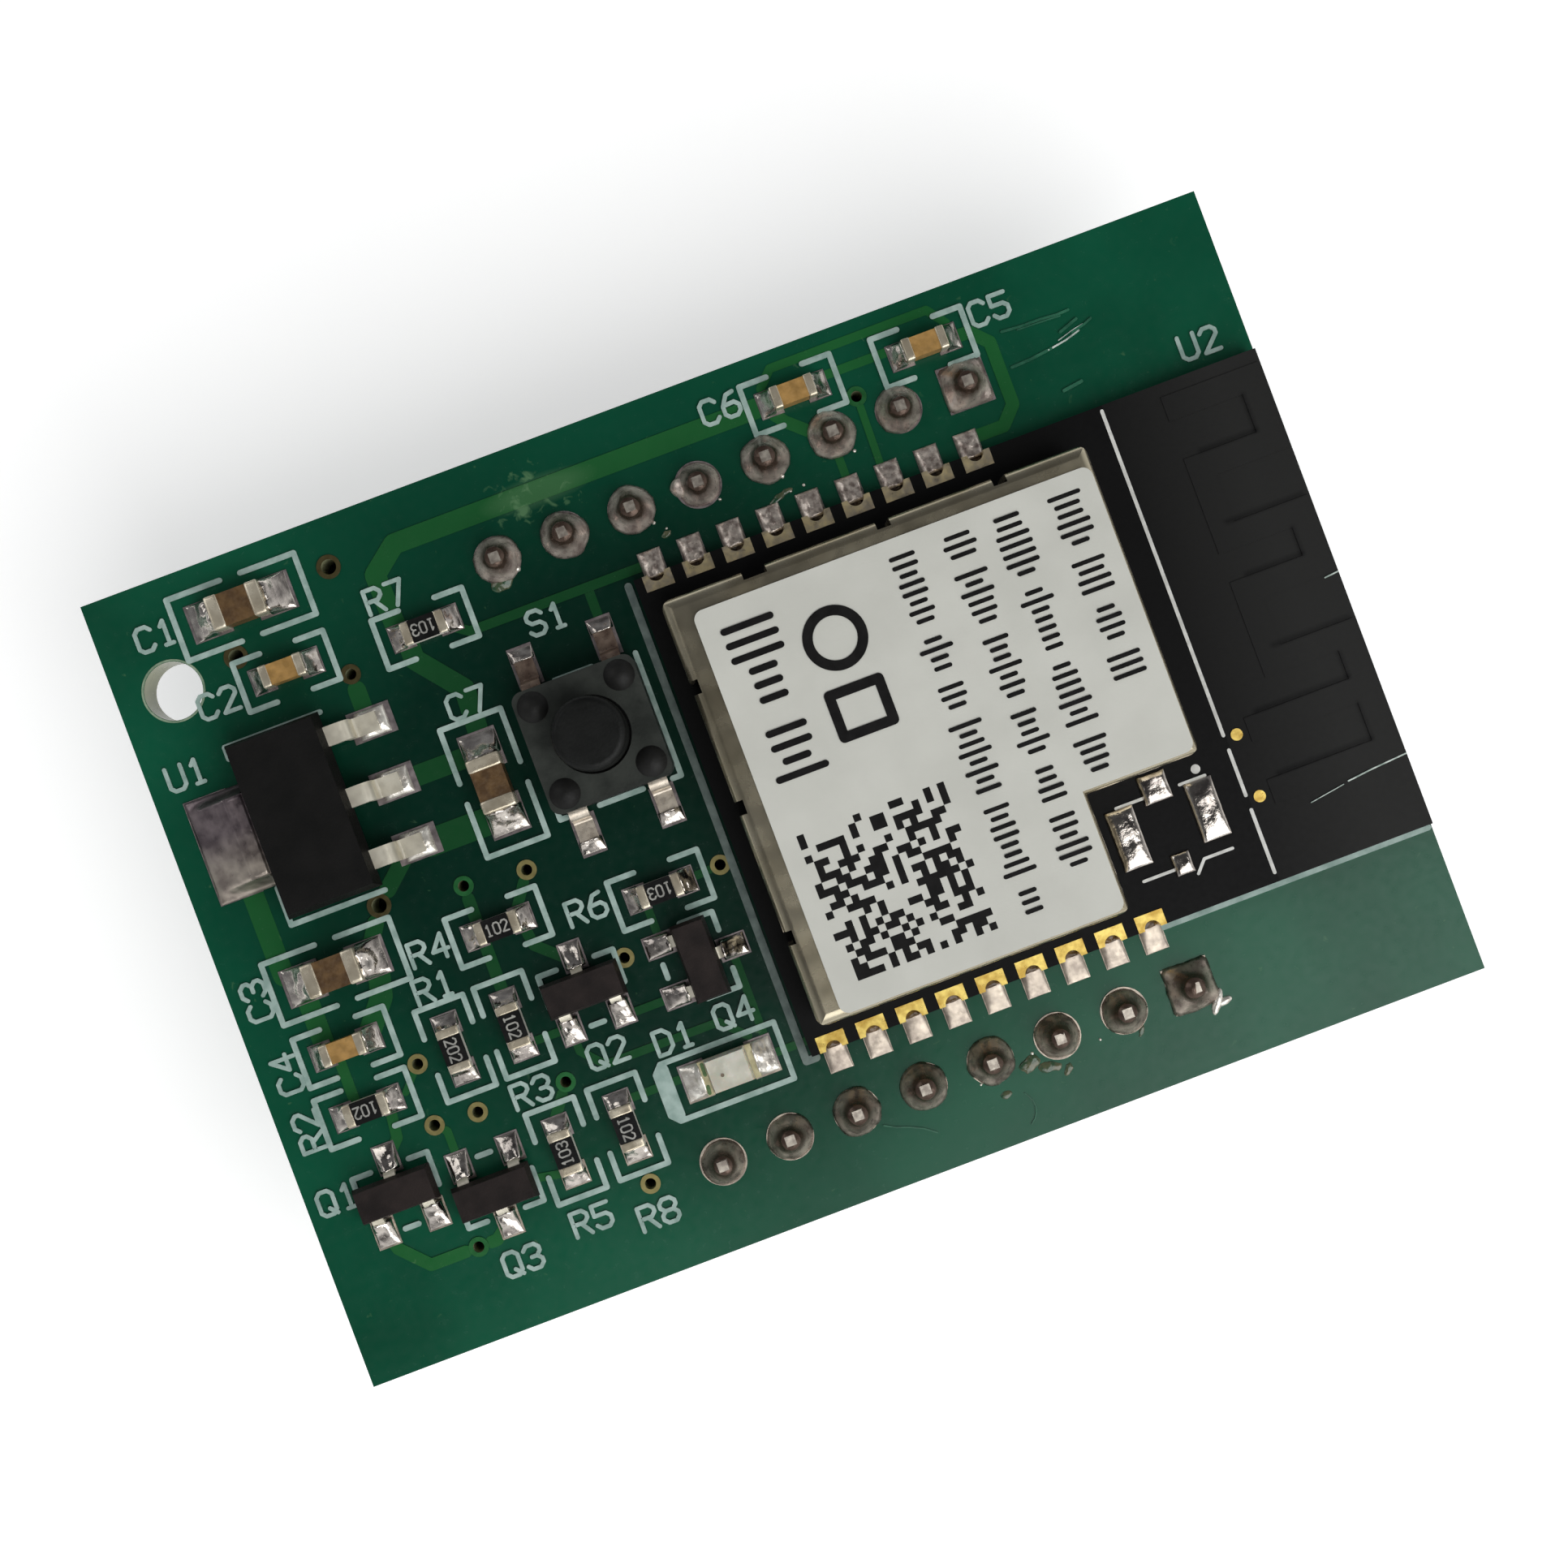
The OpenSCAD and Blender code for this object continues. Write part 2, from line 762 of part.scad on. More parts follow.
// Outside of the can, or its hollow when inset by the sheet
module can_form(inset) {
    h = can_h - inset;
    r = fold_r - inset;
    folded_box(can_x0 + inset, cut_x - inset, can_y0 + inset, can_y1 - inset, h, r);
    folded_box(can_x0 + inset, can_x1 - inset, cut_y + inset, can_y1 - inset, h, r);
}

module shield_can() {
    over = 1;
    slit_h = can_h + 2 * over;
    color("#8f8676")
        translate([0, 0, radio_top])
            difference() {
                can_form(0);
                translate([0, 0, -sheet_t])
                    can_form_hollow();
                for (x = upper_slits)
                    translate([can_x0 + x - slit_w / 2, can_y1 - slit_depth, -over])
                        cube([slit_w, slit_depth + over, slit_h]);
                translate([can_x0 + wide_slit - wide_slit_w / 2, can_y1 - slit_depth, -over])
                    cube([wide_slit_w, slit_depth + over, slit_h]);
                for (y = inner_slits)
                    translate([can_x0 - over, can_y1 - y - slit_w / 2, -over])
                        cube([slit_depth + over, slit_w, slit_h]);
            }
}

// Hollow of the can, carried below its open side
module can_form_hollow() {
    can_form(sheet_t);
    translate([0, 0, sheet_t])
        can_form(sheet_t);
}

module shield_label() {
    x0 = can_x0 + label_left;
    x1 = can_x1 - label_edge;
    y0 = can_y0 + label_edge;
    y1 = can_y1 - label_upper;
    corner_x = cut_x - label_edge;
    corner_y = cut_y + label_edge;
    color("#d8d7cd")
        translate([0, 0, can_top])
            linear_extrude(label_t) {
                translate([(x0 + corner_x) / 2, (y0 + y1) / 2])
                    round_rect(corner_x - x0, y1 - y0, label_r);
                translate([(x0 + x1) / 2, (corner_y + y1) / 2])
                    round_rect(x1 - x0, y1 - corner_y, label_r);
            }
}

// Straight piece of the antenna track between two points along X or Y
module track(x0, y0, x1, y1) {
    translate([min(x0, x1) - track_w / 2, min(y0, y1) - track_w / 2])
        square([abs(x1 - x0) + track_w, abs(y1 - y0) + track_w]);
}

// Two feeding legs and a meander that turns at the near and the far column by turns
module antenna_track() {
    last = antenna_rows - 1;
    color("#242524")
        translate([0, 0, radio_top])
            linear_extrude(track_t) {
                track(feed_x + dot_d + track_w / 2, track_y(0), track_far, track_y(0));
                track(feed_x + dot_d + track_w / 2, track_y(1), track_far, track_y(1));
                track(track_far, track_y(0), track_far, track_y(1));
                for (i = [1 : last - 1]) {
                    x = i % 2 == 1 ? track_far : track_near;
                    track(x, track_y(i), x, track_y(i + 1));
                    track(track_near, track_y(i + 1), track_far, track_y(i + 1));
                }
            }
}

module test_dots() {
    color("#d9b95a")
        for (i = [0, 1])
            translate([feed_x, track_y(i), radio_top])
                cylinder(d = dot_d, h = plating_t);
}

// Tinned lands for an antenna connector that isn't fitted
module connector_lands() {
    color("#a59c90")
        translate([cut_x + connector_offset[0], cut_y + connector_offset[1], radio_top]) {
            for (side = [-1, 1])
                translate([(side * connector_span - connector_land_w) / 2, -connector_land_l / 2, 0])
                    cube([connector_land_w, connector_land_l, land_t]);
            translate([-connector_land_w / 2, connector_land_l / 2 - connector_land_w / 4, 0])
                cube([connector_land_w, connector_land_w, land_t]);
            translate([-connector_land_w / 3, -connector_land_l / 2 - connector_land_w * 3 / 4, 0])
                cube([connector_land_w * 2 / 3, connector_land_w * 3 / 4, land_t]);
        }
}

// Puts a part on the radio board under the can
module under_can(spot) {
    translate([can_x0 + spot[0], can_y1 - spot[1], radio_top])
        children();
}

// Processor with a chamfered corner at its first contact
module radio_processor() {
    mark = processor_w / 8;
    color("#202020")
        under_can(processor_place)
            linear_extrude(processor_h)
                difference() {
                    square(processor_w, center = true);
                    translate([-processor_w / 2, processor_w / 2])
                        rotate(45)
                            square(mark, center = true);
                }
}

module radio_memory() {
    color("#202020")
        under_can(memory_place)
            moulded_block(memory_w, memory_l, memory_h, memory_h / 2, memory_h / 12);
}

module radio_crystal() {
    color("#b5b0a6")
        under_can(crystal_place)
            linear_extrude(crystal_h)
                round_rect(crystal_l, crystal_w, crystal_h / 3);
}

// Small passives in two rows below the processor
module radio_passives() {
    color("#8a6a42")
        under_can(passives_place)
            for (i = [0 : 3], row = [0, 1])
                translate([i * 1.5 * passive_l, row * 2 * passive_l, passive_l / 4])
                    cube([passive_l, passive_l / 2, passive_l / 2], center = true);
}

// Regulator

// Repeats a piece at each of the three leads, with X pointing along the lead
module regulator_lead_sides() {
    for (i = [-1 : 1])
        translate([0, i * reg_pitch, 0])
            children();
}

module regulator_leads() {
    color("#9d958c")
        placed(regulator_place)
            regulator_lead_sides()
                regulator_lead(reg_lead_w);
}

module regulator_lead(w) {
    bent_lead(reg_w / 2 - reg_stub, reg_span / 2, reg_lead_z, reg_foot, w, reg_lead_t);
}

module regulator_tab() {
    color("#9d958c")
        placed(regulator_place)
            rotate(180)
                regulator_lead(reg_tab_w);
}

module regulator_body() {
    mid = reg_lead_z - reg_lead_t / 2 - stand_off;
    color("#222021")
        placed(regulator_place)
            difference() {
                translate([0, 0, stand_off])
                    moulded_block(reg_w, reg_l, reg_h, mid, reg_h / 10);
                regulator_lead_sides()
                    regulator_lead(reg_lead_w);
                rotate(180)
                    regulator_lead(reg_tab_w);
            }
}

// Transistors

// Repeats a piece at the single lead and at the pair, with X pointing along the lead
module transistor_sides() {
    rotate(90)
        children();
    for (side = [-1, 1])
        translate([side * sot_pitch / 2, 0, 0])
            rotate(-90)
                children();
}

module transistor_lead() {
    bent_lead(sot_w / 2 - sot_stub, sot_span / 2, sot_lead_z, sot_foot, sot_lead_w, sot_lead_t);
}

module transistor_leads() {
    color("#9d958c")
        for (spot = transistor_places)
            placed(spot)
                transistor_sides()
                    transistor_lead();
}

module transistor(i) {
    mid = sot_lead_z - sot_lead_t / 2 - stand_off;
    color("#2b2524")
        placed(transistor_places[i])
            difference() {
                translate([0, 0, stand_off])
                    moulded_block(sot_l, sot_w, sot_h, mid, sot_h / 10);
                transistor_sides()
                    transistor_lead();
            }
}

// Push switch

// Repeats a piece at each terminal, with X pointing along the terminal
module terminal_sides() {
    for (turn = [90, -90], side = [-1, 1])
        translate([side * terminal_pitch / 2, 0, 0])
            rotate(turn)
                children();
}

module terminal() {
    reach = switch_w / 2 + terminal_reach;
    bent_lead(switch_w / 2 - terminal_stub, reach, terminal_z, terminal_foot, terminal_w, terminal_t);
}

module switch_terminals() {
    color("#a79c92")
        placed(switch_place)
            terminal_sides()
                terminal();
}

// Repeats a piece at each corner stake
module stakes() {
    for (sx = [-1, 1], sy = [-1, 1])
        translate([sx * stake_pitch / 2, sy * stake_pitch / 2, switch_base_h])
            children();
}

// Moulded base with a round chamber and four stakes, riveted over the cover plate
module switch_base() {
    head_r = stake_head_d / 2;
    ball_r = (head_r * head_r + stake_rise * stake_rise) / (2 * stake_rise);
    color("#232423")
        placed(switch_place) {
            difference() {
                linear_extrude(switch_base_h)
                    round_rect(switch_w, switch_w, switch_r);
                translate([0, 0, switch_floor])
                    cylinder(d = chamber_d, h = switch_base_h);
                terminal_sides()
                    terminal();
            }
            stakes() {
                cylinder(d = stake_d, h = cover_t);
                intersection() {
                    translate([0, 0, cover_t + stake_rise - ball_r])
                        sphere(ball_r);
                    translate([0, 0, cover_t])
                        cylinder(d = stake_head_d, h = stake_rise + 1);
                }
            }
        }
}

module switch_cover() {
    color("#3f4140")
        placed(switch_place)
            difference() {
                translate([0, 0, switch_base_h])
                    linear_extrude(cover_t)
                        round_rect(switch_w, switch_w, switch_r);
                translate([0, 0, switch_base_h - 1])
                    cylinder(d = button_hole_d, h = cover_t + 2);
                stakes()
                    translate([0, 0, -1])
                        cylinder(d = stake_d + button_play / 2, h = cover_t + 2);
            }
}

// Button with a flange that keeps it under the cover plate and a nub that presses the dome
module switch_button() {
    top = switch_base_h + cover_t + button_rise;
    flange_top = switch_base_h - flange_gap;
    nub_z = switch_floor + dome_h + nub_gap;
    radius = button_d / 2;
    color("#1b1c1b")
        placed(switch_place)
            rotate_extrude() {
                difference() {
                    translate([0, flange_top - flange_t])
                        square([radius, top - flange_top + flange_t]);
                    translate([radius - button_r, top - button_r])
                        square(button_r + 1);
                }
                translate([radius - button_r, top - button_r])
                    intersection() {
                        circle(button_r);
                        square(button_r);
                    }
                translate([0, flange_top - flange_t])
                    square([flange_d / 2, flange_t]);
                translate([0, nub_z])
                    square([nub_d / 2, flange_top - nub_z]);
            }
}

// Snap dome that lies on the chamber's floor
module switch_dome() {
    base_r = dome_d / 2;
    ball_r = (base_r * base_r + dome_h * dome_h) / (2 * dome_h);
    color("#c4c1ba")
        placed(switch_place)
            translate([0, 0, switch_floor])
                rotate_extrude()
                    intersection() {
                        translate([0, dome_h - ball_r])
                            difference() {
                                circle(ball_r, $fn = 96);
                                circle(ball_r - dome_t, $fn = 96);
                            }
                        square([base_r, dome_h]);
                    }
}

// Indicator light

module light_base() {
    color("#d8d4c4")
        placed(light_place)
            translate([0, 0, light_base_h / 2])
                cube([light_l - 2 * cap_plate_t, light_w, light_base_h - 2 * cap_plate_t], center = true);
}

// Plated ends that fold over the base
module light_terminals() {
    color("#c9b98a")
        placed(light_place)
            folded_ends(light_l, light_w, light_base_h, light_band);
}

module light_lens() {
    taper = lens_h / 5;
    color("#cfccb8")
        placed(light_place)
            translate([0, 0, light_base_h - cap_plate_t])
                moulded_block(lens_l, light_w, lens_h, taper, taper / 2);
}

// Chips

// Block with round long edges that stands on the lands
module chip_block(l, w, h) {
    rotate([90, 0, 90])
        linear_extrude(l, center = true)
            translate([0, h / 2])
                round_rect(w, h, chip_r);
}

// Ceramic inside the plated ends of a capacitor
module capacitor_core(size, h) {
    translate([0, 0, h / 2])
        cube([size[0] - 2 * cap_plate_t, size[1] - 2 * cap_plate_t, h - 2 * cap_plate_t], center = true);
}

// Plated ends that wrap all four sides of a capacitor
module capacitor_ends(size, h) {
    for (side = [-1, 1])
        difference() {
            translate([side * (size[0] - size[2]) / 2, 0, 0])
                chip_block(size[2], size[1], h);
            capacitor_core(size, h);
        }
}

module capacitor(i) {
    large = len(large_places);
    if (i < large) {
        color("#4c3420")
            placed(large_places[i])
                capacitor_core(large_chip, large_h);
    } else {
        color("#7d6330")
            placed(small_places[i - large])
                capacitor_core(small_chip, small_h);
    }
}

module capacitor_terminals() {
    color("#a99f92") {
        for (spot = large_places)
            placed(spot)
                capacitor_ends(large_chip, large_h);
        for (spot = small_places)
            placed(spot)
                capacitor_ends(small_chip, small_h);
    }
}

// Ends folded over the top, end and underside of a flat chip
module folded_ends(l, w, h, band) {
    for (side = [-1, 1])
        difference() {
            translate([side * (l - band) / 2, 0, h / 2])
                cube([band, w, h], center = true);
            translate([0, 0, h / 2])
                cube([l - 2 * cap_plate_t, w + 1, h - 2 * cap_plate_t], center = true);
        }
}

module resistor(i) {
    color("#d9d6cc")
        placed(resistor_places[i])
            translate([0, 0, resistor_h / 2])
                cube([small_l - 2 * cap_plate_t, small_w, resistor_h - 2 * cap_plate_t], center = true);
}

module resistor_terminals() {
    color("#a99f92")
        for (spot = resistor_places)
            placed(spot)
                folded_ends(small_l, small_w, resistor_h, small_band);
}

// Dark coat between a resistor's ends
module resistor_coats() {
    coat_l = small_l - 2 * small_band;
    coat_z = resistor_h - cap_plate_t;
    color("#191919")
        for (spot = resistor_places)
            placed(spot)
                translate([-coat_l / 2, -small_w / 2, coat_z])
                    cube([coat_l, small_w, cap_plate_t + coat_rise]);
}

// Fillets at both ends of a chip
module chip_fillets(size, h) {
    r = fillet_share * min(size[3], h);
    for (turn = [0, 180])
        rotate(turn)
            translate([size[0] / 2, 0, 0])
                end_fillet(r, size[1]);
}

module chip_solder() {
    color("#8c857f") {
        for (spot = large_places)
            placed(spot)
                chip_fillets(large_chip, large_h);
        for (spot = small_places)
            placed(spot)
                chip_fillets(small_chip, small_h);
        for (spot = resistor_places)
            placed(spot)
                chip_fillets(small_chip, resistor_h);
        placed(light_place)
            chip_fillets([light_l, light_w, light_band, light_toe], light_base_h);
        for (spot = transistor_places)
            placed(spot)
                transistor_sides()
                    translate([sot_span / 2, 0, 0])
                        end_fillet(sot_lead_t, sot_lead_w);
        placed(regulator_place) {
            regulator_lead_sides()
                translate([reg_span / 2, 0, 0])
                    end_fillet(reg_lead_t, reg_lead_w);
            rotate(180)
                translate([reg_span / 2, 0, 0])
                    end_fillet(reg_lead_t, reg_tab_w);
        }
        placed(switch_place)
            terminal_sides()
                translate([switch_w / 2 + terminal_reach, 0, 0])
                    end_fillet(terminal_t, terminal_w);
    }
}

main_board();
solder_lands();
via_rings();
header_strip(row_ys[0]);  // upper_header_strip
header_strip(row_ys[1]);  // lower_header_strip
header_pins(row_ys[0]);  // upper_header_pins
header_pins(row_ys[1]);  // lower_header_pins
header_solder(row_ys[0]);  // upper_header_solder
header_solder(row_ys[1]);  // lower_header_solder
radio_board();
edge_contacts();
edge_solder();
shield_can();
shield_label();
antenna_track();
test_dots();
connector_lands();
radio_processor();
radio_memory();
radio_crystal();
radio_passives();
regulator_body();
regulator_leads();
regulator_tab();
switch_base();
switch_cover();
switch_button();
switch_dome();
switch_terminals();
light_base();
light_lens();
light_terminals();
for (i = [0 : len(large_places) + len(small_places) - 1])
    capacitor(i);
capacitor_terminals();
for (i = [0 : len(resistor_places) - 1])
    resistor(i);
resistor_coats();
resistor_terminals();
for (i = [0 : len(transistor_places) - 1])
    transistor(i);
transistor_leads();
chip_solder();
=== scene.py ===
# %% [markdown]
# # A radio board on its carrier
#
# This lesson dresses a small circuit module: a green carrier board that holds a black radio
# board under a folded shield can, with a regulator, a push switch, a light and small chips.
# The solid model comes first. It gives every piece its size and place, and nothing here moves
# it. Blender then adds what a solid model leaves out: copper under the mask, print, solder
# that has flowed, and a finish for every surface.

# %% The frame
import json
import math
import random

import bmesh
import bpy
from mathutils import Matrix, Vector


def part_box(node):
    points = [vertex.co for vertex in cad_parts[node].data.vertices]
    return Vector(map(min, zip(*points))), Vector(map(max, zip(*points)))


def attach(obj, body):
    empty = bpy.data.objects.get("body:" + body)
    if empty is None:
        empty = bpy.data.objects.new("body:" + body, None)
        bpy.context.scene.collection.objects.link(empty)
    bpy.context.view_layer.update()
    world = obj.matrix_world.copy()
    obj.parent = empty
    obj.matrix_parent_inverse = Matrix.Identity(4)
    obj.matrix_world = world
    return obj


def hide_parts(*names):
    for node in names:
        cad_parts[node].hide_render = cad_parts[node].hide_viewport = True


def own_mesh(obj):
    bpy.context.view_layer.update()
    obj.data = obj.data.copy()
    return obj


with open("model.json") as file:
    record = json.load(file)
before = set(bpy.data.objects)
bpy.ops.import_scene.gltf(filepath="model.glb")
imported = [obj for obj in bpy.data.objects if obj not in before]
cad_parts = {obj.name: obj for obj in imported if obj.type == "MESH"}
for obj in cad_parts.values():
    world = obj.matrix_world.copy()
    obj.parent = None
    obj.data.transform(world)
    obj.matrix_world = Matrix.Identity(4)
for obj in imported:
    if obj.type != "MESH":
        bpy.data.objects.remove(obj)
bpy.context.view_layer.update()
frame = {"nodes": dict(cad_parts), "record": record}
nodes = frame["nodes"]
scene = bpy.context.scene
MM = 0.001

# %% [markdown]
# ## The camera
#
# The photograph looks almost straight down on the board, which lies turned by twenty degrees.
# Four corners of a board of known size are enough to work out where the lens stood, so the
# camera is set by plain numbers: a short distance, a normal lens and a small roll.

# %% Set the camera
LENS_MM = 50
SENSOR_MM = 36
CAMERA_PLACE = Vector((-0.552, 0.380, 87.628)) * MM
CAMERA_TURN = (-0.012, -0.471, -20.578)


def add_object(name, data):
    """Links a new object, at the origin, into the scene."""
    made = bpy.data.objects.new(name, data)
    scene.collection.objects.link(made)
    return made


lens = bpy.data.cameras.new("camera")
lens.lens = LENS_MM
lens.sensor_width = SENSOR_MM
lens.clip_start = 5 * MM
lens.clip_end = 10
camera = add_object("camera", lens)
camera.location = CAMERA_PLACE
camera.rotation_euler = [math.radians(angle) for angle in CAMERA_TURN]
scene.camera = camera
scene.view_settings.view_transform = "Standard"
print(f"camera {CAMERA_PLACE.z / MM:.1f} mm above the floor")

# %% [markdown]
# ## Node helpers
#
# Shaders and Geometry Nodes are both trees, so one helper builds either. It makes a node, sets
# its options, and fills each input with a value or with a link, depending on what it is given.
# What comes out of a node is wrapped, so that a sum in plain signs adds its own math node. A few
# more helpers name the moves that every finish repeats: a cloudy pattern of a given size, a
# value stretched from one range to another, a mix of two colours, and a bump.

# %% Nodes, and sums on what comes out of them


class Flow:
    """What comes out of a node. Each sum on it adds a node to its tree."""

    def __init__(self, tree, socket):
        self.tree = tree
        self.socket = socket

    def __add__(self, other):
        return calc("ADD", self, other)

    def __sub__(self, other):
        return calc("SUBTRACT", self, other)

    def __rsub__(self, other):
        return calc("SUBTRACT", other, self)

    def __mul__(self, other):
        return calc("MULTIPLY", self, other)

    def __truediv__(self, other):
        return calc("DIVIDE", self, other)

    def __rtruediv__(self, other):
        return calc("DIVIDE", other, self)

    def __pow__(self, other):
        return calc("POWER", self, other)

    def __abs__(self):
        return calc("ABSOLUTE", self)


def add(tree, kind, inputs=None, out=0, **options):
    """One output of a new node with its options set and its inputs filled by values or links."""
    node = tree.nodes.new(kind)
    for name, value in options.items():
        setattr(node, name, value)
    for key, value in (inputs or {}).items():
        if isinstance(value, Flow):
            tree.links.new(value.socket, node.inputs[key])
        else:
            node.inputs[key].default_value = value
    return Flow(tree, node.outputs[out])


def tree_of(*values):
    """Tree of the first value that comes out of a node."""
    return next(value.tree for value in values if isinstance(value, Flow))


def calc(operation, first, second=0.0):
    """Result of one sum on two numbers."""
    return add(tree_of(first, second), "ShaderNodeMath", {0: first, 1: second}, operation=operation)


def vector(operation, first, second=(0, 0, 0), out=0):
    """Result of one sum on two vectors."""
    return add(first.tree, "ShaderNodeVectorMath", {0: first, 1: second}, out, operation=operation)


def parts(whole):
    """X, Y and Z of a vector."""
    split = add(whole.tree, "ShaderNodeSeparateXYZ", {0: whole}).socket.node
    return [Flow(whole.tree, output) for output in split.outputs]


# %% Shader moves
NOISE_RANGE, GRAIN_RANGE = (0.35, 0.65), (0.3, 0.7)
PATCH_CORE = 0.5


def srgb(*levels):
    """Linear colour from display levels of 0 to 255."""
    shares = [level / 255 for level in levels]
    return (*(s / 12.92 if s <= 0.04045 else ((s + 0.055) / 1.055) ** 2.4 for s in shares), 1.0)


def cloud(spot, size, detail=3.0, distortion=0.0):
    """Cloudy value from 0 to 1 with spots of about this size in millimetres."""
    inputs = {"Vector": spot, "Scale": 1 / (size * MM), "Detail": detail, "Distortion": distortion}
    return add(spot.tree, "ShaderNodeTexNoise", inputs, "Fac")


def spread(value, low, high, to_low=0.0, to_high=1.0):
    """Value with the range low to high laid onto another range and held at its ends."""
    inputs = {"Value": value, "From Min": low, "From Max": high, "To Min": to_low, "To Max": to_high}
    return add(value.tree, "ShaderNodeMapRange", inputs, "Result", clamp=True)


def mixed(share, *tones):
    """Colour between two tones, each out of a node or as display levels."""
    low, high = (tone if isinstance(tone, Flow) else srgb(*tone) for tone in tones)
    return add(share.tree, "ShaderNodeMix", {0: share, 6: low, 7: high}, 2, data_type="RGBA")


def bumped(height, depth):
    """Normal that rises and falls with a value, by a depth in millimetres."""
    return add(height.tree, "ShaderNodeBump", {"Height": height, "Distance": depth * MM}, "Normal")


def patch(spot, middle, reach):
    """1 at a place on the piece, falling to 0 at its reach, both in millimetres."""
    apart = vector("SUBTRACT", spot, [m * MM for m in middle])
    shares = vector("MULTIPLY", apart, [1 / (r * MM) for r in reach])
    return spread(vector("LENGTH", shares, out="Value"), PATCH_CORE, 1, 1, 0)


# %% Start a finish
FINISHES = {}


def new_finish(name, **levels):
    """Object coordinates of a new material with fixed shader levels, which is kept by name."""
    material = FINISHES[name] = bpy.data.materials.new(name)
    material.use_nodes = True
    skin = material.node_tree.nodes["Principled BSDF"]
    for key, value in levels.items():
        skin.inputs[key.replace("_", " ")].default_value = value
    return add(material.node_tree, "ShaderNodeTexCoord", out="Object")


def painted(**inputs):
    """Leads what comes out of nodes into the shader of their finish."""
    for key, value in inputs.items():
        skin = value.tree.nodes["Principled BSDF"]
        value.tree.links.new(value.socket, skin.inputs[key.replace("_", " ")])


def coated(tone, grain, rough, depth):
    """Paints a colour, and a roughness and bumps that follow a fine grain."""
    painted(Base_Color=tone, Roughness=spread(grain, *GRAIN_RANGE, *rough), Normal=bumped(grain, depth))


def drift(name, tones, size, rough, fine, depth, upper=None, between=(0, 1), **levels):
    """Finish that drifts between two tones, or two others further up the board, with small bumps."""
    spot = new_finish(name, **levels)
    wide = spread(cloud(spot, size), *NOISE_RANGE)
    tone = mixed(wide, *tones)
    if upper:
        share = spread(parts(spot)[1], *(y * MM for y in between))
        tone = mixed(share, tone, mixed(wide, *upper))
    coated(tone, cloud(spot, fine, detail=5), rough, depth)


# %% [markdown]
# ## Floor, world and light
#
# A pale floor carries the shadow. What is seen of it is lifted toward white, by a glow that
# lights nothing else. Metal looks like metal only if it has something to mirror, so the sky is
# not one flat tone: it is dark overhead and pale at the horizon, most of all on the side of the
# main lamp. Flat lands then look dark, and solder is bright on one slope and dull on the other.
# One soft box stands where the highlights point, and a wide one fills.

# %% Floor and sky
FLOOR_REACH = 6
FLOOR_DROP = 0.02 * MM
FLOOR_GLOW = 0.45
HORIZON_NEAR, HORIZON_FAR, OVERHEAD = (250, 251, 252), (120, 122, 126), (62, 63, 65)
HORIZON_TO, OVERHEAD_FROM = 0.3, 0.85
LAMP_SIDE, SIDE_RANGE = (0.41, -0.91, 0), (-0.6, 0.6)


def pale_floor():
    """Wide flat sheet just under the pin tips."""
    sheet = bpy.data.meshes.new("floor")
    signs = ((-1, -1), (1, -1), (1, 1), (-1, 1))
    corners = [(x * FLOOR_REACH, y * FLOOR_REACH, -FLOOR_DROP) for x, y in signs]
    sheet.from_pydata(corners, [], [(0, 1, 2, 3)])
    drift("floor_card", ((240, 240, 239), (246, 246, 245)), 60, (0.7, 0.9), 2, 0.02,
          Emission_Color=srgb(255, 255, 255))
    card = FINISHES["floor_card"]
    camera_ray, glossy_ray, clear_ray = (
        add(card.node_tree, "ShaderNodeLightPath", out=f"Is {kind} Ray")
        for kind in ("Camera", "Glossy", "Transmission"))
    seen = calc("MAXIMUM", camera_ray, calc("MAXIMUM", glossy_ray, clear_ray))
    painted(Emission_Strength=seen * FLOOR_GLOW)
    sheet.materials.append(card)
    add_object("floor", sheet)


def studio_sky():
    """World that is dark overhead and pale at the horizon, most of all on the lamp's side."""
    world = bpy.data.worlds.new("studio")
    world.use_nodes = True
    tree = world.node_tree
    way = add(tree, "ShaderNodeTexCoord", out="Generated")
    side = vector("DOT_PRODUCT", way, LAMP_SIDE, "Value")
    horizon = mixed(spread(side, *SIDE_RANGE), HORIZON_FAR, HORIZON_NEAR)
    tone = mixed(spread(parts(way)[2], HORIZON_TO, OVERHEAD_FROM), horizon, OVERHEAD)
    tree.links.new(tone.socket, tree.nodes["Background"].inputs["Color"])
    scene.world = world


pale_floor()
studio_sky()
print("floor and sky in place")

# %% Lamps
BOARD_LOW, BOARD_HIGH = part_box("main_board")
BOARD_MIDDLE = (BOARD_LOW + BOARD_HIGH) / 2
LAMPS = {
    "key_box": ((0.075, -0.165, 0.26), 0.27, 0.68),
    "fill_box": ((-0.22, 0.2, 0.3), 0.24, 0.24),
}
for name, (place, size, watts) in LAMPS.items():
    lamp = bpy.data.lights.new(name, "AREA")
    lamp.size = size
    lamp.energy = watts
    holder = add_object(name, lamp)
    holder.location = place
    holder.rotation_euler = (BOARD_MIDDLE - Vector(place)).to_track_quat("-Z", "Y").to_euler()
print(f"{len(LAMPS)} soft boxes")
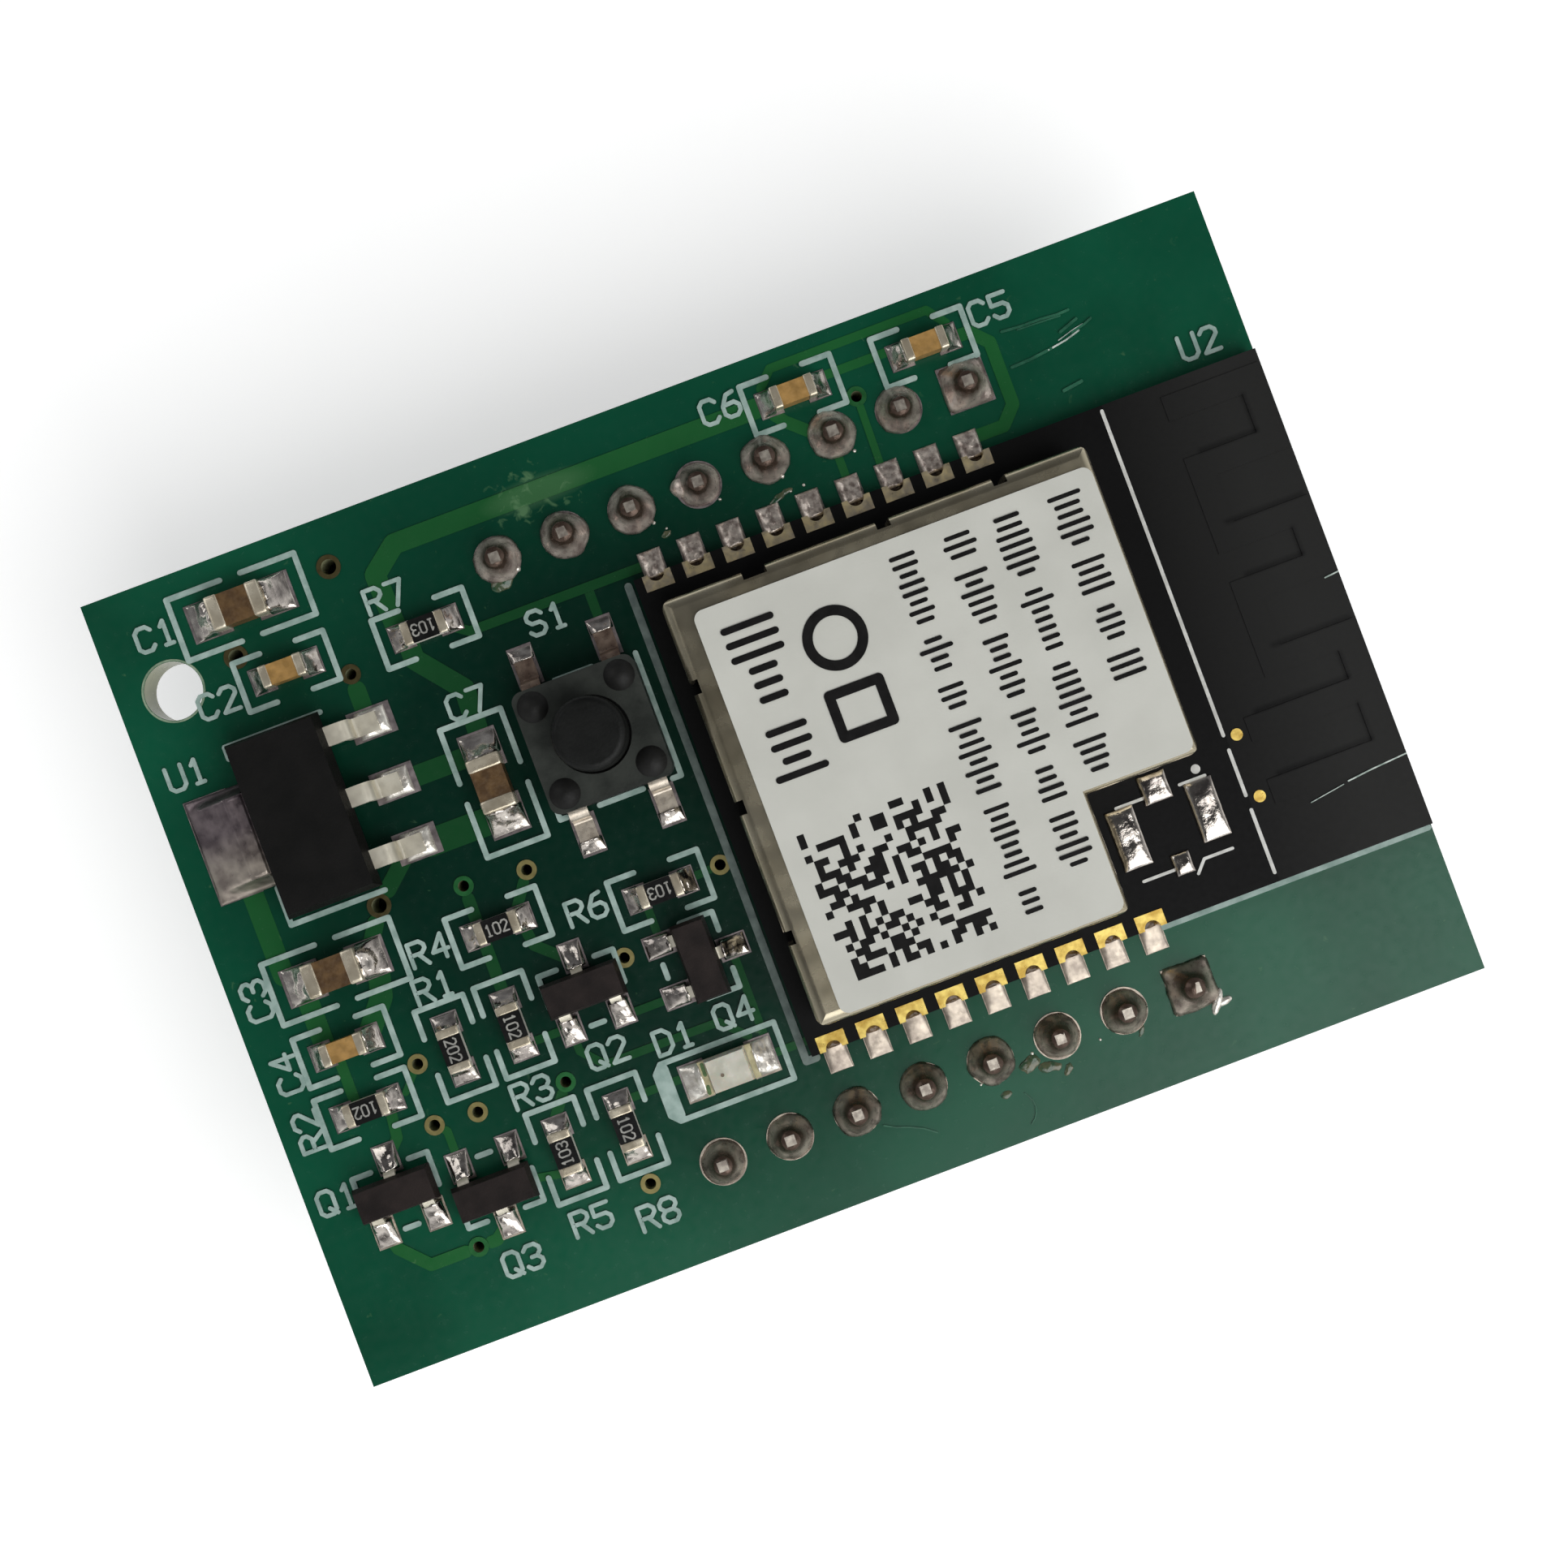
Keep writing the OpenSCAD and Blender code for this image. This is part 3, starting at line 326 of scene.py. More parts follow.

# %% [markdown]
# ## Finish of the two boards
#
# A solder mask is a thin glossy lacquer. Its green drifts in depth, is darkened by painted shade
# among the parts and has a fine orange peel. In one place a tool has scraped it pale. Copper
# under the mask shows as a lighter green, so it shares the recipe with tones of its own. The
# sides of the board are cut glass laminate with no lacquer, so the carrier's finish looks at
# which way a face points: level faces get the mask, upright ones the laminate. On the radio
# board the black turns grey toward the antenna end, partly because that end is bare and partly
# as painted shade of the can on the rest, and each gap between the antenna's rows has a painted
# shadow along its border.

# %% Green lacquer
# The second tone on this line and the next is painted shade among the parts.
MASK_TONES, MASK_SHADED = ((8, 72, 50), (14, 88, 62)), (3, 42, 30)
TRACK_TONES, TRACK_SHADED = ((28, 92, 46), (39, 108, 56)), (22, 72, 38)
MASK_DRIFT, MASK_ROUGH = 8, (0.2, 0.28)
PEEL_SIZE, PEEL_DEPTH = 0.35, 0.002
SCRAPED, HAZE_SHARE = (92, 132, 92), 0.32
FLECK_SIZE, FLECK_BEND, FLECK_PULL = 0.42, 0.7, 0.18
FLECK_RANGE, FLECK_SHARES = (0.7, 0.92), (0, 0.8)
LAMINATE, LAYER_SIZE, LAYER_STRETCH = ((134, 138, 104), (164, 165, 132)), 0.5, (0.12, 0.12, 3.0)
UPPER_FACE, FACE_REACH = 10.1, 1.5
# Painted shade: the broad patch among the parts where the lacquer is darkened.
SHADE_AMONG_PARTS = (-5, 1.5, UPPER_FACE), (18, 16, FACE_REACH)
SCRAPE_HAZE = (-4.5, 12.98, UPPER_FACE), (2.3, 0.62, FACE_REACH)
SCRAPE_ZONE = (-4.7, 13.0, UPPER_FACE), (2.7, 1.5, FACE_REACH)
SCRAPE_HEART = (-5.33, 12.69, UPPER_FACE), (0.6, 0.5, FACE_REACH)


def lacquer(name, tones, inner):
    """Green lacquer, with painted shade among the parts and a scrape: its coordinates and colour."""
    spot = new_finish(name, Specular_IOR_Level=0.3)
    green = mixed(spread(cloud(spot, MASK_DRIFT), *NOISE_RANGE), *tones)
    # Painted shade: the lacquer is darker among the parts, where they shade it.
    green = mixed(patch(spot, *SHADE_AMONG_PARTS), green, inner)
    zone = patch(spot, *SCRAPE_ZONE) + patch(spot, *SCRAPE_HEART)
    grain = zone * FLECK_PULL + cloud(spot, FLECK_SIZE, distortion=FLECK_BEND)
    flecks = spread(grain, *FLECK_RANGE, *FLECK_SHARES)
    haze = patch(spot, *SCRAPE_HAZE) * HAZE_SHARE
    green = mixed(calc("MAXIMUM", flecks, haze), green, SCRAPED)
    coated(green, cloud(spot, PEEL_SIZE), MASK_ROUGH, PEEL_DEPTH)
    return spot, green


def carrier_mask():
    """Green lacquer on the level faces and cut laminate on the upright ones."""
    spot, green = lacquer("carrier_mask", MASK_TONES, MASK_SHADED)
    laminate = mixed(cloud(vector("MULTIPLY", spot, LAYER_STRETCH), LAYER_SIZE), *LAMINATE)
    facing = add(spot.tree, "ShaderNodeNewGeometry", out="Normal")
    level = calc("GREATER_THAN", abs(parts(facing)[2]), 0.5)
    painted(Base_Color=mixed(level, laminate, green))


carrier_mask()
lacquer("covered_copper", TRACK_TONES, TRACK_SHADED)
print("finishes:", *FINISHES)

# %% Black lacquer
BLACK_TONES, BARE_LIT_TONE = ((6, 6, 7), (11, 11, 11)), (38, 38, 37)
ANTENNA_FROM, ANTENNA_FADE, LEAST_BARE_LIT = 15.2, 4, 0.25
CLOSED_END, OPEN_END = 19.98, 20.72
GAPS = (
    (16.5, -5.62, -4.3), (16.5, -3.3, -2.4), (17.9, -1.33, None),
    (17.9, 1.34, 2.3), (17.9, 3.31, None), (17.9, 5.98, 7.3),
)
# Width and depth of the painted shadow along the antenna's gaps.
SHADOW_SOFT, SHADOW_DEPTH = 0.17, 0.55


def border(spot, corners):
    """1 on a straight line between two corners, falling softly to 0 beside it."""
    share = 1
    for at, start, end in zip(parts(spot), *corners):
        half = (end - start) / 2
        away = abs(at - (start + end) / 2 * MM)
        share = spread(away, half * MM, (half + SHADOW_SOFT) * MM, 1, 0) * share
    return share


def radio_mask():
    """Black lacquer, greyer on the bare antenna end, with painted shade near the can and along the antenna's
    gaps.
    """
    spot = new_finish("radio_mask", Specular_IOR_Level=0.12)
    along = parts(spot)[0]
    # Partly painted shade: the ramp from black to grey is the bare antenna end and also the can's shade near
    # it.
    bare = spread(along, ANTENNA_FROM * MM, (ANTENNA_FROM + ANTENNA_FADE) * MM, LEAST_BARE_LIT, 1)
    bare = bare * calc("GREATER_THAN", along, ANTENNA_FROM * MM)
    # Painted shadow: a soft dark line along each gap's border, and up its closed end, where the raised rows
    # shade it.
    for start, y, up_to in GAPS:
        lines = [((start, y), (OPEN_END, y))]
        if up_to is not None:
            lines = [((start, y), (CLOSED_END, y)), ((CLOSED_END, y), (CLOSED_END, up_to))]
        for line in lines:
            bare = bare - border(spot, line) * SHADOW_DEPTH
    tone = mixed(calc("MAXIMUM", bare, 0), mixed(cloud(spot, 2), *BLACK_TONES), BARE_LIT_TONE)
    coated(tone, cloud(spot, 0.2), (0.4, 0.55), 0.003)


radio_mask()
print(f"{len(GAPS)} gaps in the antenna")

# %% [markdown]
# ## Metals
#
# Tin, solder, gold and the can's sheet share one recipe: metal, two close tones, and a
# roughness that wanders. What tells them apart is scale. Solder has broad smooth swells with
# bright and dull places, a tinned land is finely frosted, and the can's sheet is smooth with
# warm stains. Some metals take a second, duller pair of tones further up the board. Each row
# of the table gives a name, two tones, the size of the drift, the roughness, the size and
# depth of the bumps, and how metallic it is.

# %% Metals that drift
METALS = (
    ("tin", ((152, 141, 130), (200, 188, 172)), 0.4, (0.3, 0.48), 0.15, 0.004, 0.7),
    ("solder", ((168, 160, 154), (222, 214, 204)), 0.6, (0.08, 0.24), 0.4, 0.035, 1),
    ("lead_metal", ((208, 201, 182), (232, 226, 208)), 1.1, (0.3, 0.45), 0.3, 0.008, 0.5),
    ("chip_ends", ((198, 186, 162), (224, 214, 192)), 0.8, (0.18, 0.32), 0.4, 0.01, 0.6),
    ("pin_metal", ((150, 140, 130), (204, 196, 182)), 0.22, (0.24, 0.36), 0.6, 0.006, 0.6),
    ("dome_steel", ((170, 168, 164), (190, 188, 184)), 0.8, (0.2, 0.3), 0.2, 0.004, 1),
    ("crystal_metal", ((170, 168, 162), (188, 186, 180)), 0.8, (0.25, 0.4), 0.2, 0.004, 1),
    ("dull_solder", ((146, 132, 124), (232, 220, 208)), 0.22, (0.2, 0.42), 0.2, 0.03, 0.6),
    ("bright_solder", ((210, 203, 192), (248, 244, 234)), 0.3, (0.14, 0.3), 0.25, 0.03, 0.6),
    ("tab_tin", ((138, 127, 120), (190, 179, 166)), 0.7, (0.26, 0.44), 0.35, 0.012, 0.8),
    ("light_plating", ((176, 168, 130), (206, 198, 160)), 0.4, (0.3, 0.45), 0.15, 0.004, 0.5),
    ("gold_plating", ((196, 160, 76), (246, 220, 124)), 0.35, (0.26, 0.4), 0.25, 0.003, 0.8),
    ("can_sheet", ((158, 149, 126), (178, 170, 148)), 2.2, (0.2, 0.32), 1.2, 0.002, 0.9),
    ("switch_tin", ((186, 174, 158), (220, 210, 194)), 0.5, (0.22, 0.4), 0.2, 0.006, 0.6),
)
UPPER_TONES = {
    "tin": (((116, 108, 108), (158, 148, 148)), (-9.3, -8.9)),
    "tab_tin": (((92, 82, 86), (136, 124, 126)), (4.0, 5.4)),
    "gold_plating": (((178, 166, 146), (224, 206, 160)), (0, 1)),
    "switch_tin": (((112, 92, 80), (158, 138, 122)), (3.6, 4.6)),
}
for name, *look, metallic in METALS:
    drift(name, *look, *UPPER_TONES.get(name, ()), Metallic=metallic)
print(f"{len(METALS)} metals")

# %% Plating of the vias
TENTED_VIAS = ((7.3, 12.15), (-11.9, 0.75), (-10.95, -7.05), (-15.9, -11.45))
STAINED_VIAS = ((-12.4, 13.05), (-16.6, 11.2), (-14.95, 1.18), (-13.0, 9.26))
VIA_TONES, VIA_STAIN = ((122, 114, 68), (162, 150, 98)), (80, 72, 42)
VIA_LEVEL, VIA_PATCH = 10, (1.4, 1.4, 10)


def via_plating():
    """Pale gold rings, stained on the wide vias and green where the mask runs over them."""
    spot = new_finish("via_plating", Metallic=0.6)
    tone = mixed(cloud(spot, 0.3), *VIA_TONES)
    for places, cover in ((TENTED_VIAS, TRACK_TONES[1]), (STAINED_VIAS, VIA_STAIN)):
        for place in places:
            tone = mixed(patch(spot, (*place, VIA_LEVEL), VIA_PATCH), tone, cover)
    painted(Base_Color=tone, Roughness=spread(cloud(spot, 0.2), *GRAIN_RANGE, 0.3, 0.5))


via_plating()
print(f"{len(TENTED_VIAS)} vias under the mask, {len(STAINED_VIAS)} stained")

# %% [markdown]
# ## Plastics, ceramics and paper
#
# Moulded packages are matt with a faint sparkle of filler, so their bump is very fine. Fired
# ceramic is smoother and its brown is uneven. The switch's plate is dark painted metal that
# has gone pale where fingers rub it. None of these needs more than the drifting recipe.

# %% Plastics, ceramics and paper
DULL = {"Specular_IOR_Level": 0.14}
CLOUDED = {"Subsurface_Weight": 0.3, "Subsurface_Scale": 0.3 * MM}
PLAIN = {}
PLASTICS = (
    ("header_plastic", ((14, 14, 14), (20, 20, 20)), 1, (0.42, 0.6), 0.12, 0.008, DULL),
    ("moulded_black", ((12, 12, 11), (20, 19, 18)), 1.2, (0.45, 0.62), 0.07, 0.01, DULL),
    ("moulded_brown", ((30, 25, 24), (44, 37, 35)), 0.9, (0.42, 0.6), 0.06, 0.01, DULL),
    ("switch_plate", ((42, 45, 42), (60, 63, 59)), 1.1, (0.36, 0.5), 0.1, 0.008, DULL),
    ("switch_plastic", ((28, 28, 27), (36, 36, 35)), 0.8, (0.38, 0.52), 0.1, 0.008, DULL),
    ("button_plastic", ((18, 19, 18), (27, 28, 27)), 0.9, (0.36, 0.5), 0.1, 0.008, DULL),
    ("light_base", ((196, 190, 168), (214, 208, 188)), 0.5, (0.4, 0.6), 0.1, 0.006, PLAIN),
    ("light_lens", ((196, 194, 178), (218, 216, 202)), 0.6, (0.14, 0.3), 0.3, 0.006, CLOUDED),
    ("large_ceramic", ((78, 56, 31), (104, 78, 45)), 0.4, (0.3, 0.46), 0.1, 0.008, PLAIN),
    ("small_ceramic", ((148, 114, 60), (180, 140, 80)), 0.35, (0.3, 0.46), 0.1, 0.008, PLAIN),
    ("alumina", ((208, 204, 192), (226, 223, 214)), 0.3, (0.4, 0.6), 0.08, 0.006, PLAIN),
    ("resistor_coat", ((17, 17, 17), (25, 25, 25)), 0.5, (0.3, 0.45), 0.12, 0.006, DULL),
    ("label_paper", ((204, 204, 195), (212, 212, 203)), 2.5, (0.5, 0.65), 0.08, 0.005, PLAIN),
)
for name, *look, levels in PLASTICS:
    drift(name, *look, **levels)

# %% [markdown]
# ## Dressing the solid nodes
#
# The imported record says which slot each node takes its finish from. One loop gives every node
# the finish of its slot, so no node is left in a plain colour. Three nodes have met more heat
# than others of their slot, or less, and have finishes of their own.

# %% Give each node its finish
slot_of = {part["node"]: part["material_slot"] for part in frame["record"]["subparts"]}
OWN_FINISH = {
    "regulator_tab": "tab_tin", "switch_terminals": "switch_tin", "light_terminals": "light_plating",
}
for name, node in nodes.items():
    node.data.materials.clear()
    node.data.materials.append(FINISHES[OWN_FINISH.get(name, slot_of[name])])
print(f"{len(slot_of)} nodes dressed")

# %% [markdown]
# ## Places from the solid model
#
# Solder, print and plugs belong to parts that the solid model has already placed. A node may
# hold many small solids, such as the eight pins of a row, so a helper walks along the edges of
# a merged copy of its mesh and measures each separate solid. Nothing has to be placed by eye
# where the frame knows the answer.

# %% Measure nodes and their solids
WELD = 0.0001 * MM


def measured(name):
    """Middle and size of a node in millimetres, and the turn of its longer side in degrees."""
    low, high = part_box(name)
    size = (high - low) / MM
    return (low + high) / 2 / MM, size, 0 if size.x > size.y else 90


def merged(name):
    """Working copy of a node's mesh with its loose triangles joined."""
    shape = bmesh.new()
    shape.from_mesh(nodes[name].data)
    bmesh.ops.remove_doubles(shape, verts=shape.verts, dist=WELD)
    return shape


def solids_of(name):
    """Middle and size of each separate solid in a node, in millimetres, in a fixed order."""
    shape = merged(name)
    left = set(shape.verts)
    found = []
    while left:
        group = [left.pop()]
        for vert in group:
            near = {edge.other_vert(vert) for edge in vert.link_edges} & left
            group += near
            left -= near
        low, high = (Vector([end(vert.co[axis] for vert in group) for axis in range(3)]) / MM
                     for end in (min, max))
        found.append(((low + high) / 2, high - low))
    shape.free()
    return sorted(found, key=lambda solid: (round(solid[0].y, 2), round(solid[0].x, 2)))


def turned(path, middle, degrees):
    """Path turned about the origin and carried to a place."""
    c, s = math.cos(math.radians(degrees)), math.sin(math.radians(degrees))
    return [(middle[0] + x * c - y * s, middle[1] + x * s + y * c) for x, y in path]


vias = solids_of("via_rings")
contacts = solids_of("edge_contacts")
print(f"{len(vias)} vias, {len(contacts)} edge contacts")

# %% [markdown]
# ## A tree that draws strokes
#
# Copper tracks, white print and label marks are all the same thing: flat lines of a given width
# that follow a path. A mesh of bare edges holds the paths. A Geometry Nodes tree lays one bar
# along every edge and one round dot on every corner, so lines of any angle join cleanly. Each
# point carries its own width. Bars, dots and strokes differ in height by a hair, because two
# faces in exactly the same plane would shade each other black.

# %% Pieces that a tree grows
SCRATCH_DATA = ("width", "along", "place", "turn", "size", "form", "square")
VECTOR = "FLOAT_VECTOR"


def board_piece(piece, slot, *replaced):
    """Makes a piece move with the board and hides the nodes that it stands for; its slot is not used."""
    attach(piece, "board")
    if replaced:
        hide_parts(*replaced)


def point_mesh(name, places, edges=(), **data):
    """Mesh of bare points and edges in metres, whose points carry values or vectors under names."""
    mesh = bpy.data.meshes.new(name)
    mesh.from_pydata(places, edges, [])
    for key, values in data.items():
        if isinstance(values[0], (int, float)):
            mesh.attributes.new(key, "FLOAT", "POINT").data.foreach_set("value", values)
        else:
            flat = [number for value in values for number in value]
            mesh.attributes.new(key, VECTOR, "POINT").data.foreach_set("vector", flat)
    return mesh


def grown(name, slot, mesh, tree, *replaced, **inputs):
    """Piece of the board that a tree makes from a mesh, with no modifier left on it."""
    made = add_object(name, mesh)
    modifier = made.modifiers.new("grow", "NODES")
    modifier.node_group = tree
    sockets = {s.name: s.identifier for s in tree.interface.items_tree if s.in_out == "INPUT"}
    for key, value in inputs.items():
        modifier[sockets[key]] = FINISHES[value] if isinstance(value, str) else value
    graph = bpy.context.evaluated_depsgraph_get()
    result = bpy.data.meshes.new_from_object(made.evaluated_get(graph), depsgraph=graph)
    made.modifiers.clear()
    made.data = result
    for data in SCRATCH_DATA:
        if data in result.attributes:
            result.attributes.remove(result.attributes[data])
    board_piece(made, slot, *replaced)
    print(f"{name}: {len(result.polygons)} faces from {len(mesh.vertices)} points")


# %% Helpers for Geometry Nodes


def new_tree(name, **inputs):
    """Geometry Nodes tree with a geometry input, named inputs and a geometry output."""
    tree = bpy.data.node_groups.new(name, "GeometryNodeTree")
    for socket, kind in {"Geometry": "Geometry", **inputs}.items():
        tree.interface.new_socket(socket, in_out="INPUT", socket_type=f"NodeSocket{kind}")
    tree.interface.new_socket("Geometry", in_out="OUTPUT", socket_type="NodeSocketGeometry")
    outputs = tree.nodes.new("NodeGroupInput").outputs
    return tree, {socket: Flow(tree, outputs[socket]) for socket in ("Geometry", *inputs)}


def named(tree, name, kind="FLOAT"):
    """Value that each point carries under a name."""
    return add(tree, "GeometryNodeInputNamedAttribute", {"Name": name}, data_type=kind)


def here(tree):
    """Place of each point."""
    return add(tree, "GeometryNodeInputPosition")


def joined(*values):
    """Vector of three values."""
    return add(tree_of(*values), "ShaderNodeCombineXYZ", dict(enumerate(values)))


def stored(geometry, name, value, domain="POINT"):
    """Geometry whose points or edges carry a vector under a name."""
    inputs = {"Geometry": geometry, "Name": name, "Value": value}
    return add(geometry.tree, "GeometryNodeStoreNamedAttribute", inputs, data_type=VECTOR, domain=domain)


def moved(geometry, **inputs):
    """Geometry with its points at a Position, or shifted by an Offset."""
    return add(geometry.tree, "GeometryNodeSetPosition", {"Geometry": geometry, **inputs})


def scattered(mesh, shape, scale=None, mode="VERTICES", selection=True, **inputs):
    """A shape on each selected point, or middle of an edge, of a given size or its point's own."""
    tree = mesh.tree
    points = add(tree, "GeometryNodeMeshToPoints", {"Mesh": mesh, "Selection": selection}, mode=mode)
    inputs |= {"Points": points, "Instance": shape, "Scale": scale or named(tree, "size", VECTOR)}
    return add(tree, "GeometryNodeInstanceOnPoints", inputs)


def real(geometry):
    """Geometry with its instances made real."""
    return add(geometry.tree, "GeometryNodeRealizeInstances", {0: geometry})


def ended(geometry, material, smooth):
    """Ends a tree: shaded smooth or flat, instances made real, then given their material."""
    tree = geometry.tree
    shaded = add(tree, "GeometryNodeSetShadeSmooth", {"Geometry": geometry, "Shade Smooth": smooth})
    dressed = add(tree, "GeometryNodeSetMaterial", {"Geometry": real(shaded), "Material": material})
    tree.links.new(dressed.socket, tree.nodes.new("NodeGroupOutput").inputs[0])
    return tree


# %% The stroke tree
DOT_SIDES = 14
BAR_LIFT, BAR_LIFTS = 0.0006 * MM, 5
DOT_LIFT, DOT_LIFTS = 0.0005 * MM, 13
DOTS_OVER = 0.0042 * MM


def stepped(base, step, count):
    """Value that grows by a small step from point to point and starts again after a count."""
    index = add(base.tree, "GeometryNodeInputIndex")
    return base + calc("MODULO", index, count) * step


def stroke_tree():
    """Bars along edges and dots on corners, as wide as their points say."""
    tree, given = new_tree("Strokes", Thickness="Float", Ink="Material")
    start, end = (add(tree, "GeometryNodeInputMeshEdgeVertices", out=f"Position {i}") for i in (1, 2))
    paths = stored(given["Geometry"], "along", vector("SUBTRACT", end, start), "EDGE")
    way = named(tree, "along", VECTOR)
    width = named(tree, "width")
    length = vector("LENGTH", way, out="Value")
    turn = add(tree, "FunctionNodeAlignRotationToVector", {"Vector": way}, axis="X")
    bar = add(tree, "GeometryNodeMeshCube", {"Size": (1, 1, 1)})
    bar_size = joined(length, width, stepped(given["Thickness"], BAR_LIFT, BAR_LIFTS))
    bars = scattered(paths, bar, bar_size, "EDGES", Rotation=turn)
    dot = add(tree, "GeometryNodeMeshCylinder", {"Vertices": DOT_SIDES, "Radius": 0.5, "Depth": 1})
    dot_high = stepped(given["Thickness"] + DOTS_OVER, DOT_LIFT, DOT_LIFTS)
    dots = scattered(paths, dot, joined(width, width, dot_high))
    both = add(tree, "GeometryNodeJoinGeometry", {0: bars})
    tree.links.new(dots.socket, both.socket.node.inputs[0])
    return ended(both, given["Ink"], smooth=False)


# %% Draw with the stroke tree
STROKES = stroke_tree()
LIFT, LIFTS = 0.0054 * MM, 6
CLOSED = 0.0001


def draw(name, slot, lines, level, thickness, ink):
    """Piece made of lines, each a width and a list of places, in millimetres."""
    points, edges, widths = [], [], []
    for index, (width, path) in enumerate(lines):
        start = len(points)
        height = level + thickness * MM / 2 + index % LIFTS * LIFT
        closed = math.dist(path[0], path[-1]) < CLOSED
        spots = path[:-1] if closed else path
        points += [(x * MM, y * MM, height) for x, y in spots]
        edges += [(i, i + 1) for i in range(start, len(points) - 1)]
        edges += [(len(points) - 1, start)] if closed else []
        widths += [width * MM] * len(spots)
    mesh = point_mesh(name, points, edges, width=widths)
    grown(name, slot, mesh, STROKES, Thickness=thickness * MM, Ink=ink)


# %% [markdown]
# ## Copper under the mask
#
# Tracks lie under the lacquer and show as paler, slightly raised lines. Each route is a width
# and the few corners that it turns at, read off the photograph in millimetres from the middle
# of the board. Tracks run a little way under the parts that they feed, so no end shows. Where
# an end meets a via, it is drawn back to the via's ring, so that the hole stays open.

# %% Copper tracks
board_top = BOARD_HIGH.z
TRACK_RISE = 0.014
RING_OVERLAP = 0.1
TRACKS = [
    (0.76, [(-19.0, 3.4), (-19.0, 0.0)]),
    (0.75, [(-18.5, -0.9), (-18.5, -3.0)]),
    (0.40, [(-18.2, -3.4), (-18.2, -5.2)]),
    (0.80, [(-15.7, -0.7), (-16.0, -1.9), (-16.8, -2.9)]),
    (0.60, [(-13.2, 2.7), (-14.95, 1.18)]),
    (0.60, [(-14.95, 1.18), (-15.8, -0.2)]),
    (0.65, [(-13.0, 9.22), (-13.0, 7.4)]),
    (0.75, [(-12.5, 5.0), (-9.6, 5.0)]),
    (1.00, [(-12.5, 2.6), (-9.6, 2.6)]),
    (0.75, [(-10.9, 9.9), (-10.95, 12.2), (-9.95, 13.0), (3.8, 13.0)]),
    (0.75, [(-10.7, 9.6), (-10.7, 8.9), (-9.4, 7.3), (-9.5, 5.3)]),
    (0.35, [(-9.0, 9.5), (-8.5, 9.15), (-1.8, 9.15)]),
    (0.35, [(-4.05, 9.15), (-4.05, 7.2)]),
    (0.33, [(6.3, 13.25), (9.0, 13.25)]),
    (0.32, [(4.2, 13.6), (4.75, 14.16), (10.7, 14.16), (11.2, 13.5)]),
    (0.47, [(11.3, 12.9), (11.85, 12.9), (12.43, 12.3), (12.43, 9.95), (11.85, 9.33), (10.6, 9.33)]),
    (0.45, [(4.3, 12.6), (4.6, 12.2), (5.6, 11.3)]),
    (0.27, [(7.25, 12.15), (7.25, 9.5)]),
    (0.30, [(5.95, 11.0), (5.95, 9.5)]),
    (0.45, [(-11.9, 0.75), (-11.92, -3.6)]),
    (0.40, [(-9.6, 0.5), (-10.5, -0.8)]),
    (0.40, [(-10.4, -1.3), (-10.3, -2.1), (-9.2, -3.1)]),
    (0.30, [(-12.0, -5.3), (-10.1, -5.3), (-10.1, -6.2), (-9.4, -6.97), (-5.1, -6.97), (-4.3, -7.8)]),
    (0.30, [(-8.2, -5.58), (-6.1, -5.58)]),
    (0.30, [(-3.77, -4.6), (-3.77, -8.0)]),
    (0.30, [(-6.05, -2.0), (-6.05, -3.6)]),
    (0.30, [(-3.1, -1.75), (-4.6, -1.85)]),
    (0.30, [(-15.85, -6.85), (-15.5, -7.2), (-15.5, -8.6)]),
    (0.40, [(-17.85, -7.4), (-17.25, -6.8), (-17.1, -5.6)]),
    (0.45, [(-18.8, -9.8), (-18.6, -10.5), (-17.7, -11.45), (-15.9, -11.45)]),
    (0.45, [(-15.9, -11.45), (-15.2, -11.45), (-14.6, -11.0)]),
    (0.40, [(-10.95, -7.05), (-11.8, -8.2)]),
    (0.30, [(-9.4, -8.4), (-6.3, -8.4)]),
    (0.30, [(-4.4, -8.7), (-1.6, -8.7)]),
    (0.30, [(-13.6, -9.8), (-12.0, -10.1)]),
    (0.25, [(-15.65, -4.6), (-16.4, -5.4)]),
]


def clear_of_vias(width, path):
    """Track whose ends stop at the ring of the via that they meet."""
    spots = [Vector(spot) for spot in path]
    for end, inner in ((0, 1), (-1, -2)):
        for middle, extent in vias:
            if (spots[end] - middle.xy).length < extent.x / 2:
                way = (spots[inner] - spots[end]).normalized()
                spots[end] = middle.xy + way * (extent.x / 2 + width / 2 - RING_OVERLAP)
    return width, [tuple(spot) for spot in spots]


tracks = [clear_of_vias(*track) for track in TRACKS]
draw("copper_tracks", "carrier_mask", tracks, board_top, TRACK_RISE, "covered_copper")

# %% [markdown]
# ## White print on the carrier
#
# The print frames each part. Chips of one size share one frame, so the frame is drawn once
# round the chip's own box and turned with it. The larger parts have lines of their own, and
# short part numbers in a plain stroke letter stand beside them, such as R1 for a resistor.

# %% Frames that follow the parts
LINE = 0.2
SMALL_FRAME, LARGE_FRAME = (3.42, 1.83, 1.03), (4.82, 2.3, 2.02)
TRANSISTOR_FRAME = (
    [(-0.72, 0.95), (-1.42, 0.95), (-1.42, -0.28)],
    [(0.72, 0.95), (1.42, 0.95), (1.42, -0.28)],
    [(-0.25, -1.34), (0.25, -1.34)],
)
TRANSISTOR_TURNS = (0, 0, 180, 270)
large_capacitors = [f"capacitor_{i}" for i in range(1, 4)]
small_capacitors = [f"capacitor_{i}" for i in range(4, 8)]
resistors = [f"resistor_{i}" for i in range(1, 9)]
transistors = [f"transistor_{i}" for i in range(1, 5)]


